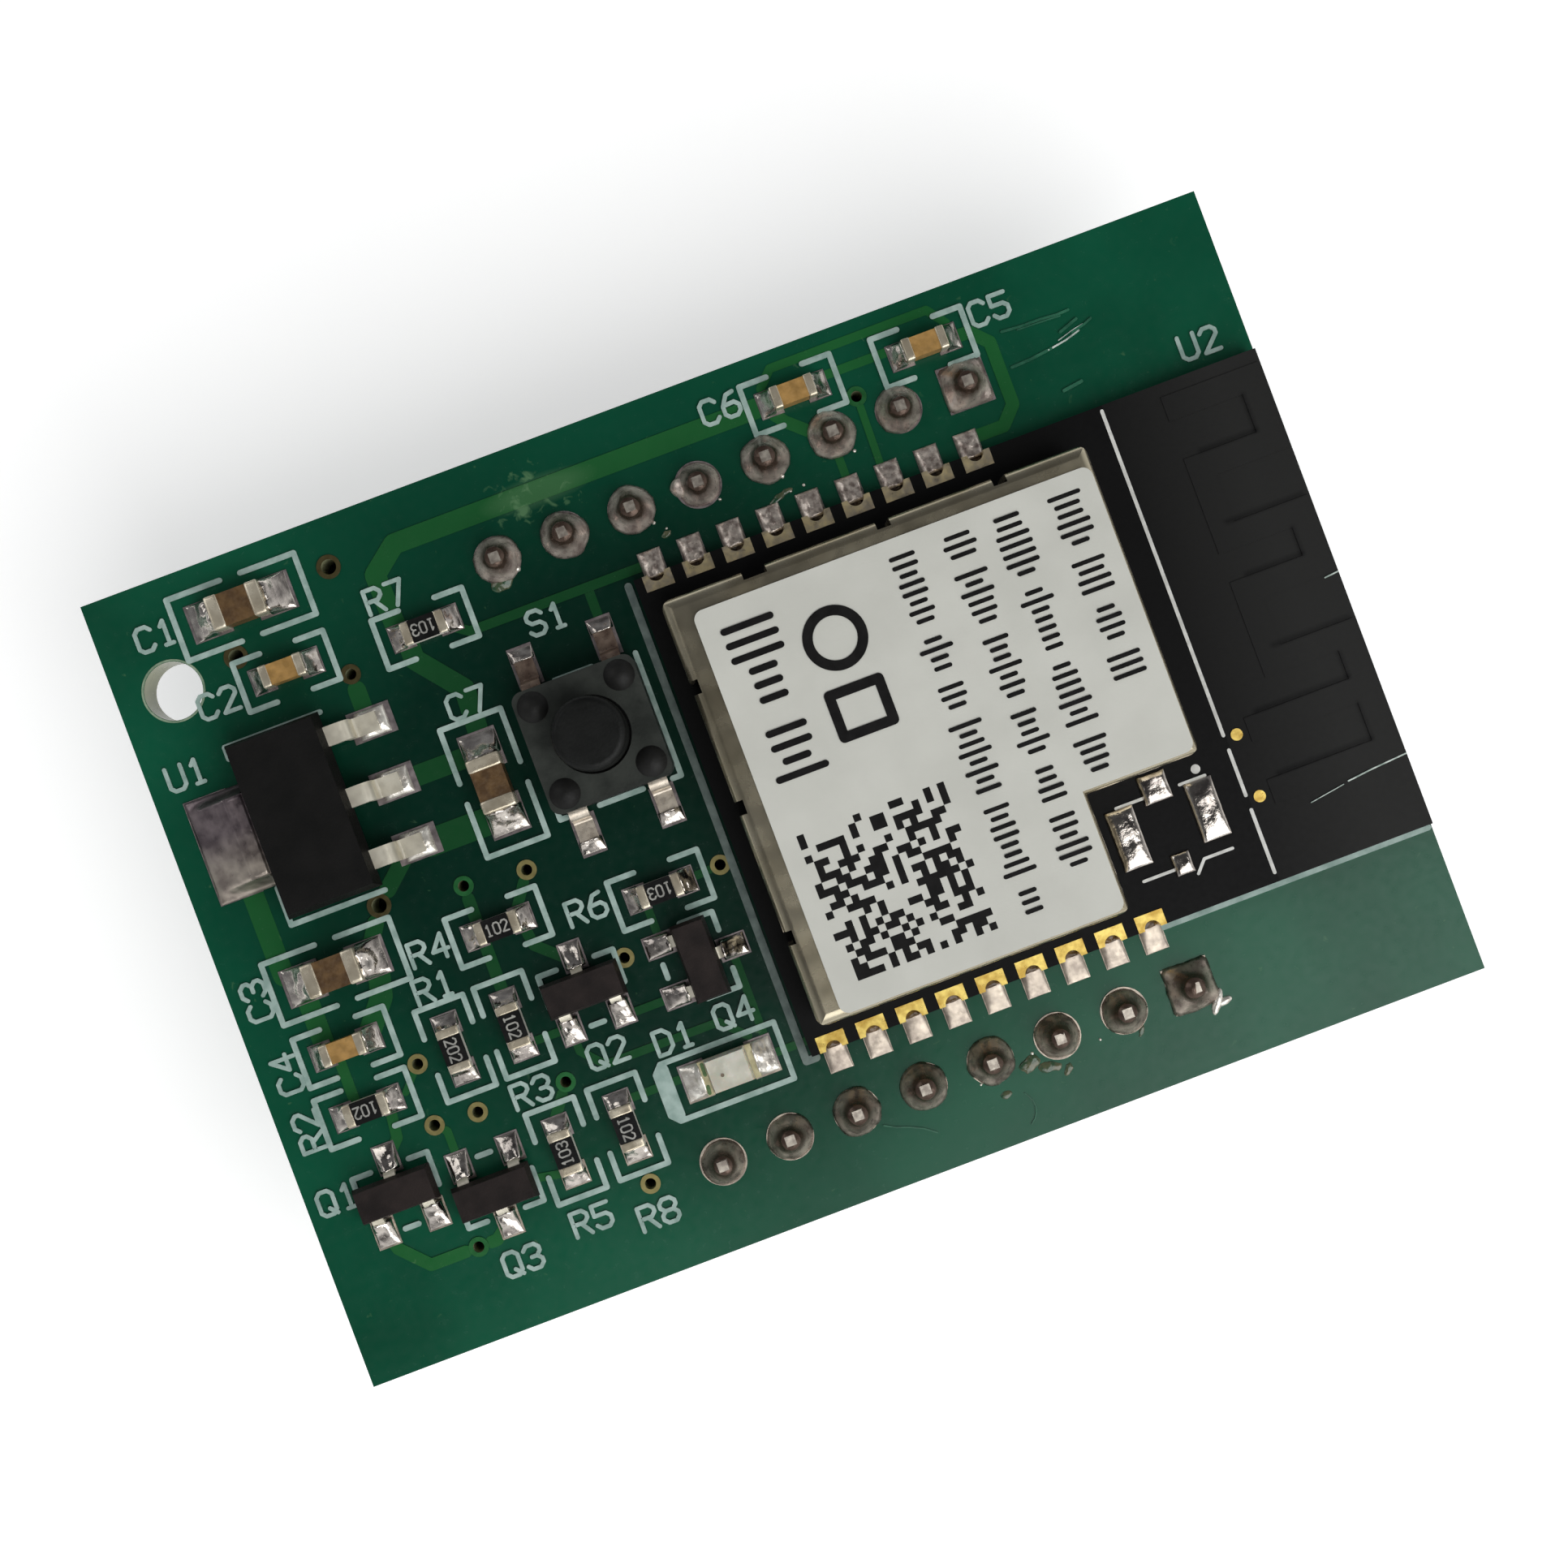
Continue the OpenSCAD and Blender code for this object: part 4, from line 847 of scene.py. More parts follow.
def chip_frame(name, frame_size):
    """Two square brackets round a chip."""
    middle, _, turn = measured(name)
    half, side, leg = frame_size[0] / 2, frame_size[1] / 2, frame_size[2]
    bracket = [(half - leg, side), (half, side), (half, -side), (half - leg, -side)]
    return [(LINE, turned(bracket, middle, turn + extra)) for extra in (0, 180)]


print_lines = []
for chips, frame_size in ((large_capacitors, LARGE_FRAME), (small_capacitors + resistors, SMALL_FRAME)):
    for chip in chips:
        print_lines += chip_frame(chip, frame_size)
for chip, degrees in zip(transistors, TRANSISTOR_TURNS):
    middle = measured(chip)[0]
    print_lines += [(LINE, turned(path, middle, degrees)) for path in TRANSISTOR_FRAME]
print(f"{len(print_lines)} frame lines")

# %% Lines of the larger parts
print_lines += [
    (LINE, [(-18.1, 7.9), (-18.1, 8.33), (-14.5, 8.33)]),
    (LINE, [(-18.1, 3.0), (-18.1, 1.6), (-14.55, 1.6)]),
    (LINE, [(-3.27, 6.36), (-3.27, 1.72), (-3.6, 1.72)]),
    (LINE, [(-6.36, 1.74), (-4.71, 1.74)]),
    (LINE, [(-7.85, 2.1), (-7.85, 1.74), (-7.6, 1.74)]),
    (LINE, [(-6.3, 6.45), (-4.9, 6.45)]),
    (LINE, [(-7.6, -7.65), (-3.29, -7.65), (-3.29, -9.79), (-7.6, -9.79), (-7.88, -9.5), (-7.88, -7.95),
            (-7.6, -7.65)]),
    (0.42, [(-7.58, -7.85), (-7.58, -9.6)]),
    (0.22, [(10.9, -9.38), (21.0, -9.38)]),
]
print(f"{len(print_lines)} lines in all")

# %% A stroke letter
GLYPHS = {
    "C": [[(4, 5), (3, 6), (1, 6), (0, 5), (0, 1), (1, 0), (3, 0), (4, 1)]],
    "D": [[(0, 0), (0, 6), (2.5, 6), (4, 4.5), (4, 1.5), (2.5, 0), (0, 0)]],
    "Q": [[(1, 0), (0, 1), (0, 5), (1, 6), (3, 6), (4, 5), (4, 1), (3, 0), (1, 0)], [(2.4, 1.6), (4, 0)]],
    "R": [[(0, 0), (0, 6), (3, 6), (4, 5), (4, 4), (3, 3), (0, 3)], [(2, 3), (4, 0)]],
    "S": [[(4, 5), (3, 6), (1, 6), (0, 5), (0, 4), (1, 3), (3, 3), (4, 2), (4, 1), (3, 0), (1, 0), (0, 1)]],
    "U": [[(0, 6), (0, 1), (1, 0), (3, 0), (4, 1), (4, 6)]],
    "0": [[(1, 0), (0, 1), (0, 5), (1, 6), (3, 6), (4, 5), (4, 1), (3, 0), (1, 0)]],
    "1": [[(1, 4.8), (2, 6), (2, 0)], [(1, 0), (3, 0)]],
    "2": [[(0, 5), (1, 6), (3, 6), (4, 5), (4, 4), (0, 0), (4, 0)]],
    "3": [[(0, 5), (1, 6), (3, 6), (4, 5), (4, 4), (3, 3), (4, 2), (4, 1), (3, 0), (1, 0), (0, 1)],
          [(1.6, 3), (3, 3)]],
    "4": [[(3, 0), (3, 6), (0, 2), (4, 2)]],
    "5": [[(4, 6), (0, 6), (0, 3.4), (3, 3.4), (4, 2.5), (4, 1), (3, 0), (1, 0), (0, 1)]],
    "6": [[(3.4, 6), (1.6, 5.6), (0, 3), (0, 1), (1, 0), (3, 0), (4, 1), (4, 2.4), (3, 3.4), (0.4, 3.2)]],
    "7": [[(0, 6), (4, 6), (1.5, 0)]],
    "8": [[(1, 3), (0, 4), (0, 5), (1, 6), (3, 6), (4, 5), (4, 4), (3, 3), (1, 3), (0, 2), (0, 1), (1, 0),
           (3, 0), (4, 1), (4, 2), (3, 3)]],
}
GLYPH_HIGH, GLYPH_WIDE, GLYPH_STEP = 6, 4, 5.6


def lettering(text, middle, degrees, high, line, narrow=1.0):
    """Strokes of a short text about its middle."""
    unit = high / GLYPH_HIGH
    wide = GLYPH_STEP * (len(text) - 1) + GLYPH_WIDE
    lines = []
    for index, letter in enumerate(text):
        shift = index * GLYPH_STEP - wide / 2
        for path in GLYPHS[letter]:
            flat = [((x + shift) * unit * narrow, (y - GLYPH_HIGH / 2) * unit) for x, y in path]
            lines.append((line, turned(flat, middle, degrees)))
    return lines


print(f"{len(GLYPHS)} letters and numerals")

# %% Part numbers
INK_RISE = 0.06
LETTER_HIGH, LETTER_LINE = 0.86, 0.15
PART_NUMBERS = {
    "C1": (-19.0, 12.9, 0), "C2": (-17.75, 9.9, 0), "U1": (-19.7, 7.9, 0), "R7": (-10.9, 11.35, 0),
    "C7": (-9.5, 6.8, 0), "S1": (-5.8, 8.6, 0), "C3": (-20.2, -0.5, 90), "R4": (-13.85, -0.95, 0),
    "R1": (-14.15, -2.25, 0), "C4": (-20.1, -3.3, 90), "R2": (-20.1, -5.5, 90), "Q1": (-20.0, -8.1, 0),
    "R3": (-12.2, -6.95, 0), "Q2": (-9.2, -6.6, 0), "R6": (-8.1, -1.55, 0), "D1": (-6.8, -6.95, 0),
    "Q4": (-4.5, -6.85, 0), "Q3": (-14.6, -12.45, 0), "R5": (-11.8, -11.95, 0), "R8": (-9.5, -12.6, 0),
    "C6": (2.6, 13.45, 0), "C5": (12.8, 13.4, 0), "U2": (19.4, 9.65, 0),
}
for text, (*place, degrees) in PART_NUMBERS.items():
    print_lines += lettering(text, place, degrees, LETTER_HIGH, LETTER_LINE)
drift("white_ink", ((138, 164, 155), (172, 194, 186)), 0.5, (0.5, 0.7), 0.1, 0.008)
draw("board_print", "carrier_mask", print_lines, board_top, INK_RISE, "white_ink")

# %% Numbers on the resistors
CODE_HIGH, CODE_LINE, CODE_NARROW, CODE_RISE = 0.4, 0.06, 0.8, 0.01
CODES = (
    ("202", 270), ("102", 180), ("102", 270), ("102", 0),
    ("103", 90), ("103", 180), ("103", 180), ("102", 270),
)
code_lines = []
for chip, (text, degrees) in zip(resistors, CODES):
    code_lines += lettering(text, measured(chip)[0], degrees, CODE_HIGH, CODE_LINE, CODE_NARROW)
drift("code_ink", ((138, 137, 132), (168, 167, 160)), 0.3, (0.5, 0.7), 0.08, 0.004)
draw("resistor_numbers", "resistor_coat", code_lines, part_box("resistor_coats")[1].z, CODE_RISE, "code_ink")

# %% [markdown]
# ## Print on the radio board
#
# One thin white line closes off the antenna, and short lines mark the place of a connector that
# was never fitted. They are brighter than the print on the carrier, so they have an ink of their
# own, and the shadowed line beside the radio board has a dimmer one.

# %% Lines on the radio board
radio_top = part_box("radio_board")[1].z
RADIO_INK_RISE = 0.02
RADIO_LINES = [
    (0.13, [(15.13, 8.5), (15.13, -3.7)]),
    (0.13, [(15.13, -4.25), (15.13, -5.95)]),
    (0.13, [(15.13, -6.5), (15.13, -8.85)]),
    (0.11, [(10.67, -4.78), (11.67, -4.78)]),
    (0.11, [(13.06, -4.78), (14.02, -4.78)]),
    (0.11, [(10.69, -7.53), (11.85, -7.53)]),
    (0.11, [(14.04, -7.53), (12.97, -7.53), (12.6, -7.95)]),
    (0.34, [(13.79, -4.46), (13.792, -4.46)]),
]
EDGE_LINE = (0.28, [(-2.68, 8.65), (-2.68, -9.38), (-2.3, -9.38)])
drift("radio_ink", ((200, 200, 195), (226, 226, 221)), 0.3, (0.5, 0.7), 0.08, 0.004)
draw("radio_print", "radio_mask", RADIO_LINES, radio_top, RADIO_INK_RISE, "radio_ink")
drift("dim_ink", ((84, 98, 94), (112, 126, 120)), 0.5, (0.5, 0.7), 0.1, 0.008)
draw("edge_line", "carrier_mask", [EDGE_LINE], board_top, INK_RISE, "dim_ink")

# %% [markdown]
# ## Solder that has flowed
#
# Solder wets the end of a part and runs down to its land in a hollow slope, with a rounded rim.
# Modelling a hundred joints by hand would be slow, and copies of one joint would look stamped.
# So a tree places one small block at each joint, stretches it to the land, lifts its top by a
# formula, and adds a cloudy noise that depends on the place, which makes every joint differ.
# Each point carries a turn, a length and half width, and a form: the depth of the pool, the
# rise against the part, and whether both ends are round.

# %% The solder tree
POOL_CELLS = 15
POOL_SINK = 0.02 * MM
SLOPE_POWER = 1.5


def crowded(value):
    """Value from -1 to 1 that bunches up toward both ends."""
    return calc("SINE", value * (math.pi / 2))


def pool_block(tree):
    """Block one long and two wide whose cells crowd at the rim, with its own place stored."""
    cells = {"Vertices X": POOL_CELLS, "Vertices Y": POOL_CELLS, "Vertices Z": 2}
    block = add(tree, "GeometryNodeMeshCube", {"Size": (1, 2, 1), **cells})
    block = add(tree, "GeometryNodeTransform", {"Geometry": block, "Translation": (0.5, 0, 0.5)})
    x, y, z = parts(here(tree))
    block = moved(block, Position=joined(crowded(x), crowded(y), z))
    return stored(block, "place", here(tree))


def spun(tree):
    """Turn about the upright axis that each point carries."""
    return add(tree, "FunctionNodeEulerToRotation", {0: joined(0, 0, named(tree, "turn"))})


def waves(tree, size, out="Fac"):
    """Cloudy noise that depends on the place, with swells of a given size."""
    return add(tree, "ShaderNodeTexNoise", {"Vector": here(tree), "Scale": 1 / size, "Detail": 2}, out)


def rim(share):
    """1 inside, falling to 0 at the rim, where the share is 1."""
    square = share * share
    return 1 - square * square


def solder_tree():
    """Pools of solder that climb from their land to the end of a part."""
    tree, given = new_tree("Solder", Level="Float", Swell="Float", Swell_size="Float", Metal="Material")
    placed = real(scattered(given["Geometry"], pool_block(tree), Rotation=spun(tree)))
    x, y, z = parts(named(tree, "place", VECTOR))
    pool, climb, both = parts(named(tree, "form", VECTOR))
    run = x + both * (abs(x * 2 - 1) - x)
    edge = calc("SQRT", rim(y) * rim(run))
    rise = pool + climb * (1 - x) ** SLOPE_POWER
    swell = (waves(tree, given["Swell_size"]) - 0.5) * given["Swell"] + 1
    top = calc("GREATER_THAN", z, 0.5)
    height = given["Level"] + (top * (edge * rise * swell) - (1 - top) * POOL_SINK)
    east, north, _ = parts(here(tree))
    return ended(moved(placed, Position=joined(east, north, height)), given["Metal"], smooth=True)


# %% Make pools of solder
SOLDER = solder_tree()
land_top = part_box("solder_lands")[1].z


def pools(name, joints, metal, *replaced, swell, swell_size, level=land_top):
    """Piece made of joints, each a place, a turn, a length, a half width and a form."""
    mesh = point_mesh(
        name, [(x * MM, y * MM, level) for (x, y), *_ in joints],
        turn=[math.radians(degrees) for _, degrees, *_ in joints],
        size=[(length * MM, half * MM, MM) for _, _, length, half, _ in joints],
        form=[(pool * MM, rise * MM, both) for *_, (pool, rise, both) in joints])
    grown(name, "solder", mesh, SOLDER, *replaced,
          Level=level, Swell=swell, Swell_size=swell_size * MM, Metal=metal)


# %% [markdown]
# ## Joints of the chips and leads
#
# The ends of a chip follow from its own box: a joint starts at each end face and runs outward.
# A lead points away from its package along its longer side, so the bead at its tip follows
# from the lead's box and the middle of the package.

# %% Chip and lead joints
PLATE = 0.02
SMALL_END, LARGE_END = (0.5, 0.46), (0.88, 0.68)
LIGHT_JOINT = (0.72, 0.64), (0.12, 0.3, 0)
CHIP_ENDS = (
    (large_capacitors, LARGE_END, (0.1, 0.68, 0)),
    (small_capacitors, SMALL_END, (0.08, 0.56, 0)),
    (resistors, SMALL_END, (0.07, 0.3, 0)),
)
TRANSISTOR_TIP = 0.42, (0.92, 0.38), (0.1, 0.36, 0)
SWITCH_TIP = 0, (0.46, 0.44), (0.06, 0.2, 0)
FOOT_TIP = 0.8, (1.14, 0.5), (0.2, 0, 1)


def end_joints(name, end, form):
    """Joints at both ends of a chip."""
    middle, extent, turn = measured(name)
    reach = max(extent.x, extent.y) / 2 + PLATE
    return [(turned([(reach, 0)], middle, turn + extra)[0], turn + extra, *end, form) for extra in (0, 180)]


def tip_joints(leads, packages, back, end, form):
    """Bead that starts a way back from the tip of each lead, which points away from its package."""
    middles = [measured(name)[0] for name in packages]
    joints = []
    for middle, extent in solids_of(leads):
        away = middle - min(middles, key=lambda spot: (spot - middle).length)
        axis = 0 if extent.x > extent.y else 1
        turn = (0 if away[axis] > 0 else 180) + 90 * axis
        joints.append((turned([(extent[axis] / 2 - back, 0)], middle, turn)[0], turn, *end, form))
    return joints


chip_joints = [joint for chips, *end in CHIP_ENDS for chip in chips for joint in end_joints(chip, *end)]
chip_joints += tip_joints("transistor_leads", transistors, *TRANSISTOR_TIP)
chip_joints += tip_joints("switch_terminals", ["switch_cover"], *SWITCH_TIP)
feet = tip_joints("regulator_leads", ["regulator_body"], *FOOT_TIP)
light_ends = end_joints("light_base", *LIGHT_JOINT)
pools("chip_joints", chip_joints, "solder", "chip_solder", swell=1.2, swell_size=0.32)
pools("foot_joints", feet, "bright_solder", swell=0.9, swell_size=0.4)
pools("light_joints", light_ends, "bright_solder", swell=1.6, swell_size=0.3)

# %% [markdown]
# ## The regulator's tab
#
# The wide tab carries the regulator's heat away. It steps down from the package and lies on a
# large land, and tin has flowed over both, so one smooth sheet slopes from the package to the
# land's edge. A formula gives its height, and it thins out beside the tab and at the toe.

# %% Tin over the tab
TAB_TOE, TAB_RISEN, TAB_ROOT = -20.17, -18.25, -17.92
TAB_HIGH, TAB_THIN, TAB_SINK = 1.1, 0.01, 0.03
TAB_FLAT, TAB_EDGE = 1.5, 1.92
TAB_SLOPE, TAB_HOLLOW = 1.25, 2
TAB_STEPS, TAB_ROWS = 20, 40


def tab_height(x, across):
    """Height over the land: a slope along the tab, and hollow beside it."""
    left = max(0, (TAB_RISEN - x) / (TAB_RISEN - TAB_TOE))
    share = max(0, (abs(across) - TAB_FLAT) / (TAB_EDGE - TAB_FLAT))
    return TAB_HIGH * (1 - left ** TAB_SLOPE) * (1 - share) ** TAB_HOLLOW + TAB_THIN


def closed_sheet(name, places, tops, low, finish):
    """Closed sheet over a grid of places in millimetres, from one level up to each place's top."""
    shape = bmesh.new()
    upper = [[shape.verts.new((x * MM, y * MM, top * MM)) for (x, y), top in zip(*line)]
             for line in zip(places, tops)]
    lower = [[shape.verts.new((x * MM, y * MM, low * MM)) for x, y in line] for line in places]
    for i in range(len(places) - 1):
        for j in range(len(places[0]) - 1):
            for layer in (upper, lower):
                corners = (layer[i][j], layer[i + 1][j], layer[i + 1][j + 1], layer[i][j + 1])
                shape.faces.new(corners).smooth = True
    bmesh.ops.bridge_loops(shape, edges=[edge for edge in shape.edges if edge.is_boundary])
    bmesh.ops.recalc_face_normals(shape, faces=shape.faces)
    mesh = bpy.data.meshes.new(name)
    shape.to_mesh(mesh)
    shape.free()
    mesh.materials.append(FINISHES[finish])
    return add_object(name, mesh)


tab_y = measured("regulator_tab")[0].y
land_level = land_top / MM
rows = [TAB_EDGE * (2 * i / TAB_ROWS - 1) for i in range(TAB_ROWS + 1)]
steps = [TAB_TOE + (TAB_ROOT - TAB_TOE) * i / TAB_STEPS for i in range(TAB_STEPS + 1)]
tab_places = [[(x, tab_y + across) for across in rows] for x in steps]
tab_tops = [[land_level + tab_height(x, across) for across in rows] for x in steps]
tab_sheet = closed_sheet("tab_joint", tab_places, tab_tops, land_level - TAB_SINK, "tab_tin")
board_piece(tab_sheet, "solder")
print(f"{tab_sheet.name}: {len(tab_sheet.data.polygons)} faces")

# %% [markdown]
# ## End caps of the chips
#
# The metal ends of a chip are dipped, so their edges are soft and their faces bulge. A block
# whose points are drawn onto a high power curve has just that form, and one tree sets it at the
# box of every end cap.

# %% End caps
CAP_CELLS = 11
CAP_POWER = 12


def cap_tree():
    """Blocks with soft edges, half as large as each point's size says."""
    tree, given = new_tree("Caps", Metal="Material")
    cells = {f"Vertices {axis}": CAP_CELLS for axis in "XYZ"}
    block = add(tree, "GeometryNodeMeshCube", {"Size": (2, 2, 2), **cells})
    bunched = [crowded(value) for value in parts(here(tree))]
    x, y, z = (abs(value) ** CAP_POWER for value in bunched)
    shrink = (x + y + z) ** (-1 / CAP_POWER)
    block = moved(block, Position=joined(*(value * shrink for value in bunched)))
    return ended(scattered(given["Geometry"], block), given["Metal"], smooth=True)


CAPS = cap_tree()
for kind in ("capacitor", "resistor"):
    ends = solids_of(f"{kind}_terminals")
    sizes = [extent * MM / 2 for _, extent in ends]
    mesh = point_mesh(f"{kind}_caps", [middle * MM for middle, _ in ends], size=sizes)
    grown(f"{kind}_caps", "chip_ends", mesh, CAPS, f"{kind}_terminals", Metal="chip_ends")

# %% [markdown]
# ## Joints of the radio board
#
# The half-round contacts on the radio board's edge are soldered to lands that stick out. Along
# the upper row a hand-held iron has left thick uneven pads. Along the lower row the lands are
# thin and flat. Every notch holds a brown fill between the gold and the solder, darker on the
# upper row.

# %% Edge contacts
EDGE_BACK = 0.08
LAND_OUT = 0.92
NOTCH_BACK, NOTCH_FILL = 0.31, 0.36
UPPER_PAD = (0.42, (0.2, 0.1, 0))
LOWER_PAD = (0.41, (0.05, 0.12, 0))
NOTCH_PAD = (0.3, (0.22, 0, 1))
edge_joints = {1: [], -1: []}
notch_fills = []
for middle, extent in contacts:
    side = 1 if middle.y > 0 else -1
    edge = middle.y + side * extent.y / 2
    pad = UPPER_PAD if side > 0 else LOWER_PAD
    edge_joints[side].append(((middle.x, edge - side * EDGE_BACK), 90 * side, LAND_OUT + EDGE_BACK, *pad))
    notch_fills.append(((middle.x, edge - side * NOTCH_BACK), 90 * side, NOTCH_FILL, *NOTCH_PAD))
drift("notch_brown", ((64, 48, 30), (98, 76, 48)), 0.3, (0.2, 0.35), 0.15, 0.01, ((40, 30, 22), (70, 52, 36)))
pools("upper_edge_joints", edge_joints[1], "dull_solder", "edge_solder", swell=1.0, swell_size=0.35)
pools("lower_edge_joints", edge_joints[-1], "tin", swell=0.8, swell_size=0.35)
pools("notch_brown_fill", notch_fills, "notch_brown", swell=1.0, swell_size=0.2)

# %% Empty connector lands
CONNECTOR_FORM = (0.13, 0, 1)
connector_joints = []
for middle, extent in solids_of("connector_lands"):
    start = (middle.x - extent.x / 2, middle.y)
    connector_joints.append((start, 0, extent.x, extent.y / 2, CONNECTOR_FORM))
connector_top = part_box("connector_lands")[1].z
pools("connector_joints", connector_joints, "solder", swell=1.2, swell_size=0.5, level=connector_top)

# %% [markdown]
# ## Joints of the header pins
#
# Each header pin stands in a cone of solder that hollows toward the pin. A hand-held iron leaves
# sixteen cones that differ, so a tree of their own pulls each one about with noise. The last
# land of each row is square, to show the end of the row, and its solder is square too. The
# finish changes with height: it turns brown close round the pins.

# %% Finish of the pin joints
BROWN_FROM, BROWN_TO, BROWN_WANDER = 10.5, 10.84, 0.5
UPPER_GREYS, LOWER_GREYS = ((164, 148, 140), (232, 218, 206)), ((112, 100, 92), (184, 172, 158))
NEAR_PIN_BROWN = (84, 68, 58)


def joint_solder():
    """Grey solder that turns brown close to the pin."""
    spot = new_finish("joint_solder", Metallic=0.6)
    small = cloud(spot, 0.25, detail=4)
    _, row, height = parts(spot)
    patchy = spread(cloud(spot, 0.5), *NOISE_RANGE)
    lower, upper = (mixed(patchy, *greys) for greys in (LOWER_GREYS, UPPER_GREYS))
    grey = mixed(calc("GREATER_THAN", row, 0), lower, upper)
    browned = spread(height + (small - 0.5) * (BROWN_WANDER * MM), BROWN_FROM * MM, BROWN_TO * MM)
    coated(mixed(browned, grey, NEAR_PIN_BROWN), small, (0.2, 0.4), 0.025)


joint_solder()
print(f"solder burnt from {BROWN_FROM} to {BROWN_TO} mm up")

# %% Pin joints
CONE_RINGS, CONE_SIDES = 9, 36
CONE_NECK = 0.4
CONE_HOLLOW = 1.3
CORNER_FADE = 2.5
JOINT_WIDE, JOINT_HIGH = (0.95, 1.04), (1.21, 1.3)


def cone_tree():
    """Hollow cones of solder, square at the foot where a point says so."""
    tree, given = new_tree("Pin joints", Swell="Float", Swell_size="Float", Metal="Material")
    sizes = {"Radius Top": 1, "Radius Bottom": 1, "Depth": 1}
    cells = {"Vertices": CONE_SIDES, "Side Segments": CONE_RINGS}
    cone = add(tree, "GeometryNodeMeshCone", sizes | cells)
    x, y, z = parts(here(tree))
    radius = (1 - z) ** CONE_HOLLOW * (1 - CONE_NECK) + CONE_NECK
    cone = moved(cone, Position=joined(x * radius, y * radius, z))
    placed = real(scattered(given["Geometry"], stored(cone, "place", here(tree))))
    x, y, z = parts(named(tree, "place", VECTOR))
    wide, deep = abs(x), abs(y)
    corner = calc("SQRT", wide * wide + deep * deep) / calc("MAXIMUM", wide, deep) - 1
    size = parts(named(tree, "size", VECTOR))[0]
    pull = corner * (1 - z) ** CORNER_FADE * (size * named(tree, "square"))
    swell = (waves(tree, given["Swell_size"]) - 0.5) * given["Swell"]
    push = pull + swell
    offset = joined(x * push, y * push, swell * z)
    return ended(moved(placed, Offset=offset), given["Metal"], smooth=True)


wobble = random.Random(5)
joint = measured("upper_header_solder")[1]
places, sizes, squares = [], [], []
for row in ("upper_header_pins", "lower_header_pins"):
    pins = [middle for middle, _ in solids_of(row)]
    last = max(pin.x for pin in pins)
    for pin in pins:
        wide = joint.y / 2 * wobble.uniform(*JOINT_WIDE) * MM
        places.append((pin.x * MM, pin.y * MM, land_top))
        sizes.append((wide, wide, joint.z * wobble.uniform(*JOINT_HIGH) * MM))
        squares.append(1.0 if pin.x == last else 0.0)
mesh = point_mesh("pin_joints", places, size=sizes, square=squares)
grown("pin_joints", "solder", mesh, cone_tree(), "upper_header_solder", "lower_header_solder",
      Swell=0.26 * MM, Swell_size=0.7 * MM, Metal="joint_solder")

# %% [markdown]
# ## Vias that look dark
#
# A via is a plated hole through the board. From above each one is a dark pit. A thin
# near-black disc near the lower face paints the shade inside each hole, so no light comes
# through.

# %% Painted shade that closes the vias
SHADE_DISC_THICK, SHADE_DISC_UP = 0.1 * MM, 0.06 * MM
SHADE_DISC_SHARE = 0.45
SHADE_DISC_SIDES = 24


def shade_disc_tree():
    """Thin discs of each point's size."""
    tree, given = new_tree("Shade_discs", Lacquer="Material")
    disc = add(tree, "GeometryNodeMeshCylinder", {"Vertices": SHADE_DISC_SIDES, "Radius": 1, "Depth": 1})
    return ended(scattered(given["Geometry"], disc), given["Lacquer"], smooth=False)


places = [(middle.x * MM, middle.y * MM, BOARD_LOW.z + SHADE_DISC_UP) for middle, _ in vias]
radii = [extent.x * SHADE_DISC_SHARE * MM for _, extent in vias]
mesh = point_mesh("via_shade_discs", places, size=[(radius, radius, SHADE_DISC_THICK) for radius in radii])
# Painted shade: the discs' near-black tone stands for the shade inside each via.
drift("painted_via_shade", ((5, 9, 7), (8, 14, 10)), 0.4, (0.4, 0.6), 0.1, 0.004, **DULL)
grown("via_shade_discs", "carrier_mask", mesh, shade_disc_tree(), Lacquer="painted_via_shade")

# %% [markdown]
# ## Marks on the label
#
# The label is the brightest surface of the module, and its print the darkest. It carries plain
# marks: rows of upright bars in groups, two plain outlines, and a field of small squares from a
# fixed random draw. The bars and outlines are strokes. A tree of its own sets the squares on a
# share of a grid's points.

# %% Label marks
label_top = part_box("shield_label")[1].z
LABEL_RISE = 0.008
TEXT_ROWS = (
    (12.4, 6.0, -0.5, 1), (10.3, 6.0, -3.2, 1), (8.5, 6.0, -5.9, 1), (6.5, 6.0, -7.0, 1),
    (0.75, 5.7, -0.5, 1.6),
)
BAR_LINE, BAR_STEP, BAR_GAP = 0.15, 0.33, 2.2
BAR_HIGHS = (0.5, 0.78, 1.05)
WORD_BARS = (3, 8)
OUTLINE, RING_OUTLINE = 0.36, (3.4, 4.2, 0.95)
BOX_OUTLINE = [(2.5, 2.4), (4.3, 2.4), (4.3, 0.9), (2.5, 0.9), (2.5, 2.4)]


def bar_row(x, start, end, scale, draws):
    """Row of upright bars in word-like groups, from one Y down to another."""
    lines = []
    y = start
    left = draws.randint(*WORD_BARS)
    while y > end:
        half = draws.choice(BAR_HIGHS) * scale / 2
        lines.append((BAR_LINE * scale, [(x - half, y), (x + half, y)]))
        left -= 1
        y -= BAR_STEP * scale * (1 if left else BAR_GAP)
        left = left or draws.randint(*WORD_BARS)
    return lines


def ring(x, y, radius, line, sides=39):
    """Round outline, with a count of sides at which the first and last dots differ in height."""
    turns = [2 * math.pi * i / sides for i in range(sides + 1)]
    return (line, [(x + radius * math.cos(t), y + radius * math.sin(t)) for t in turns])


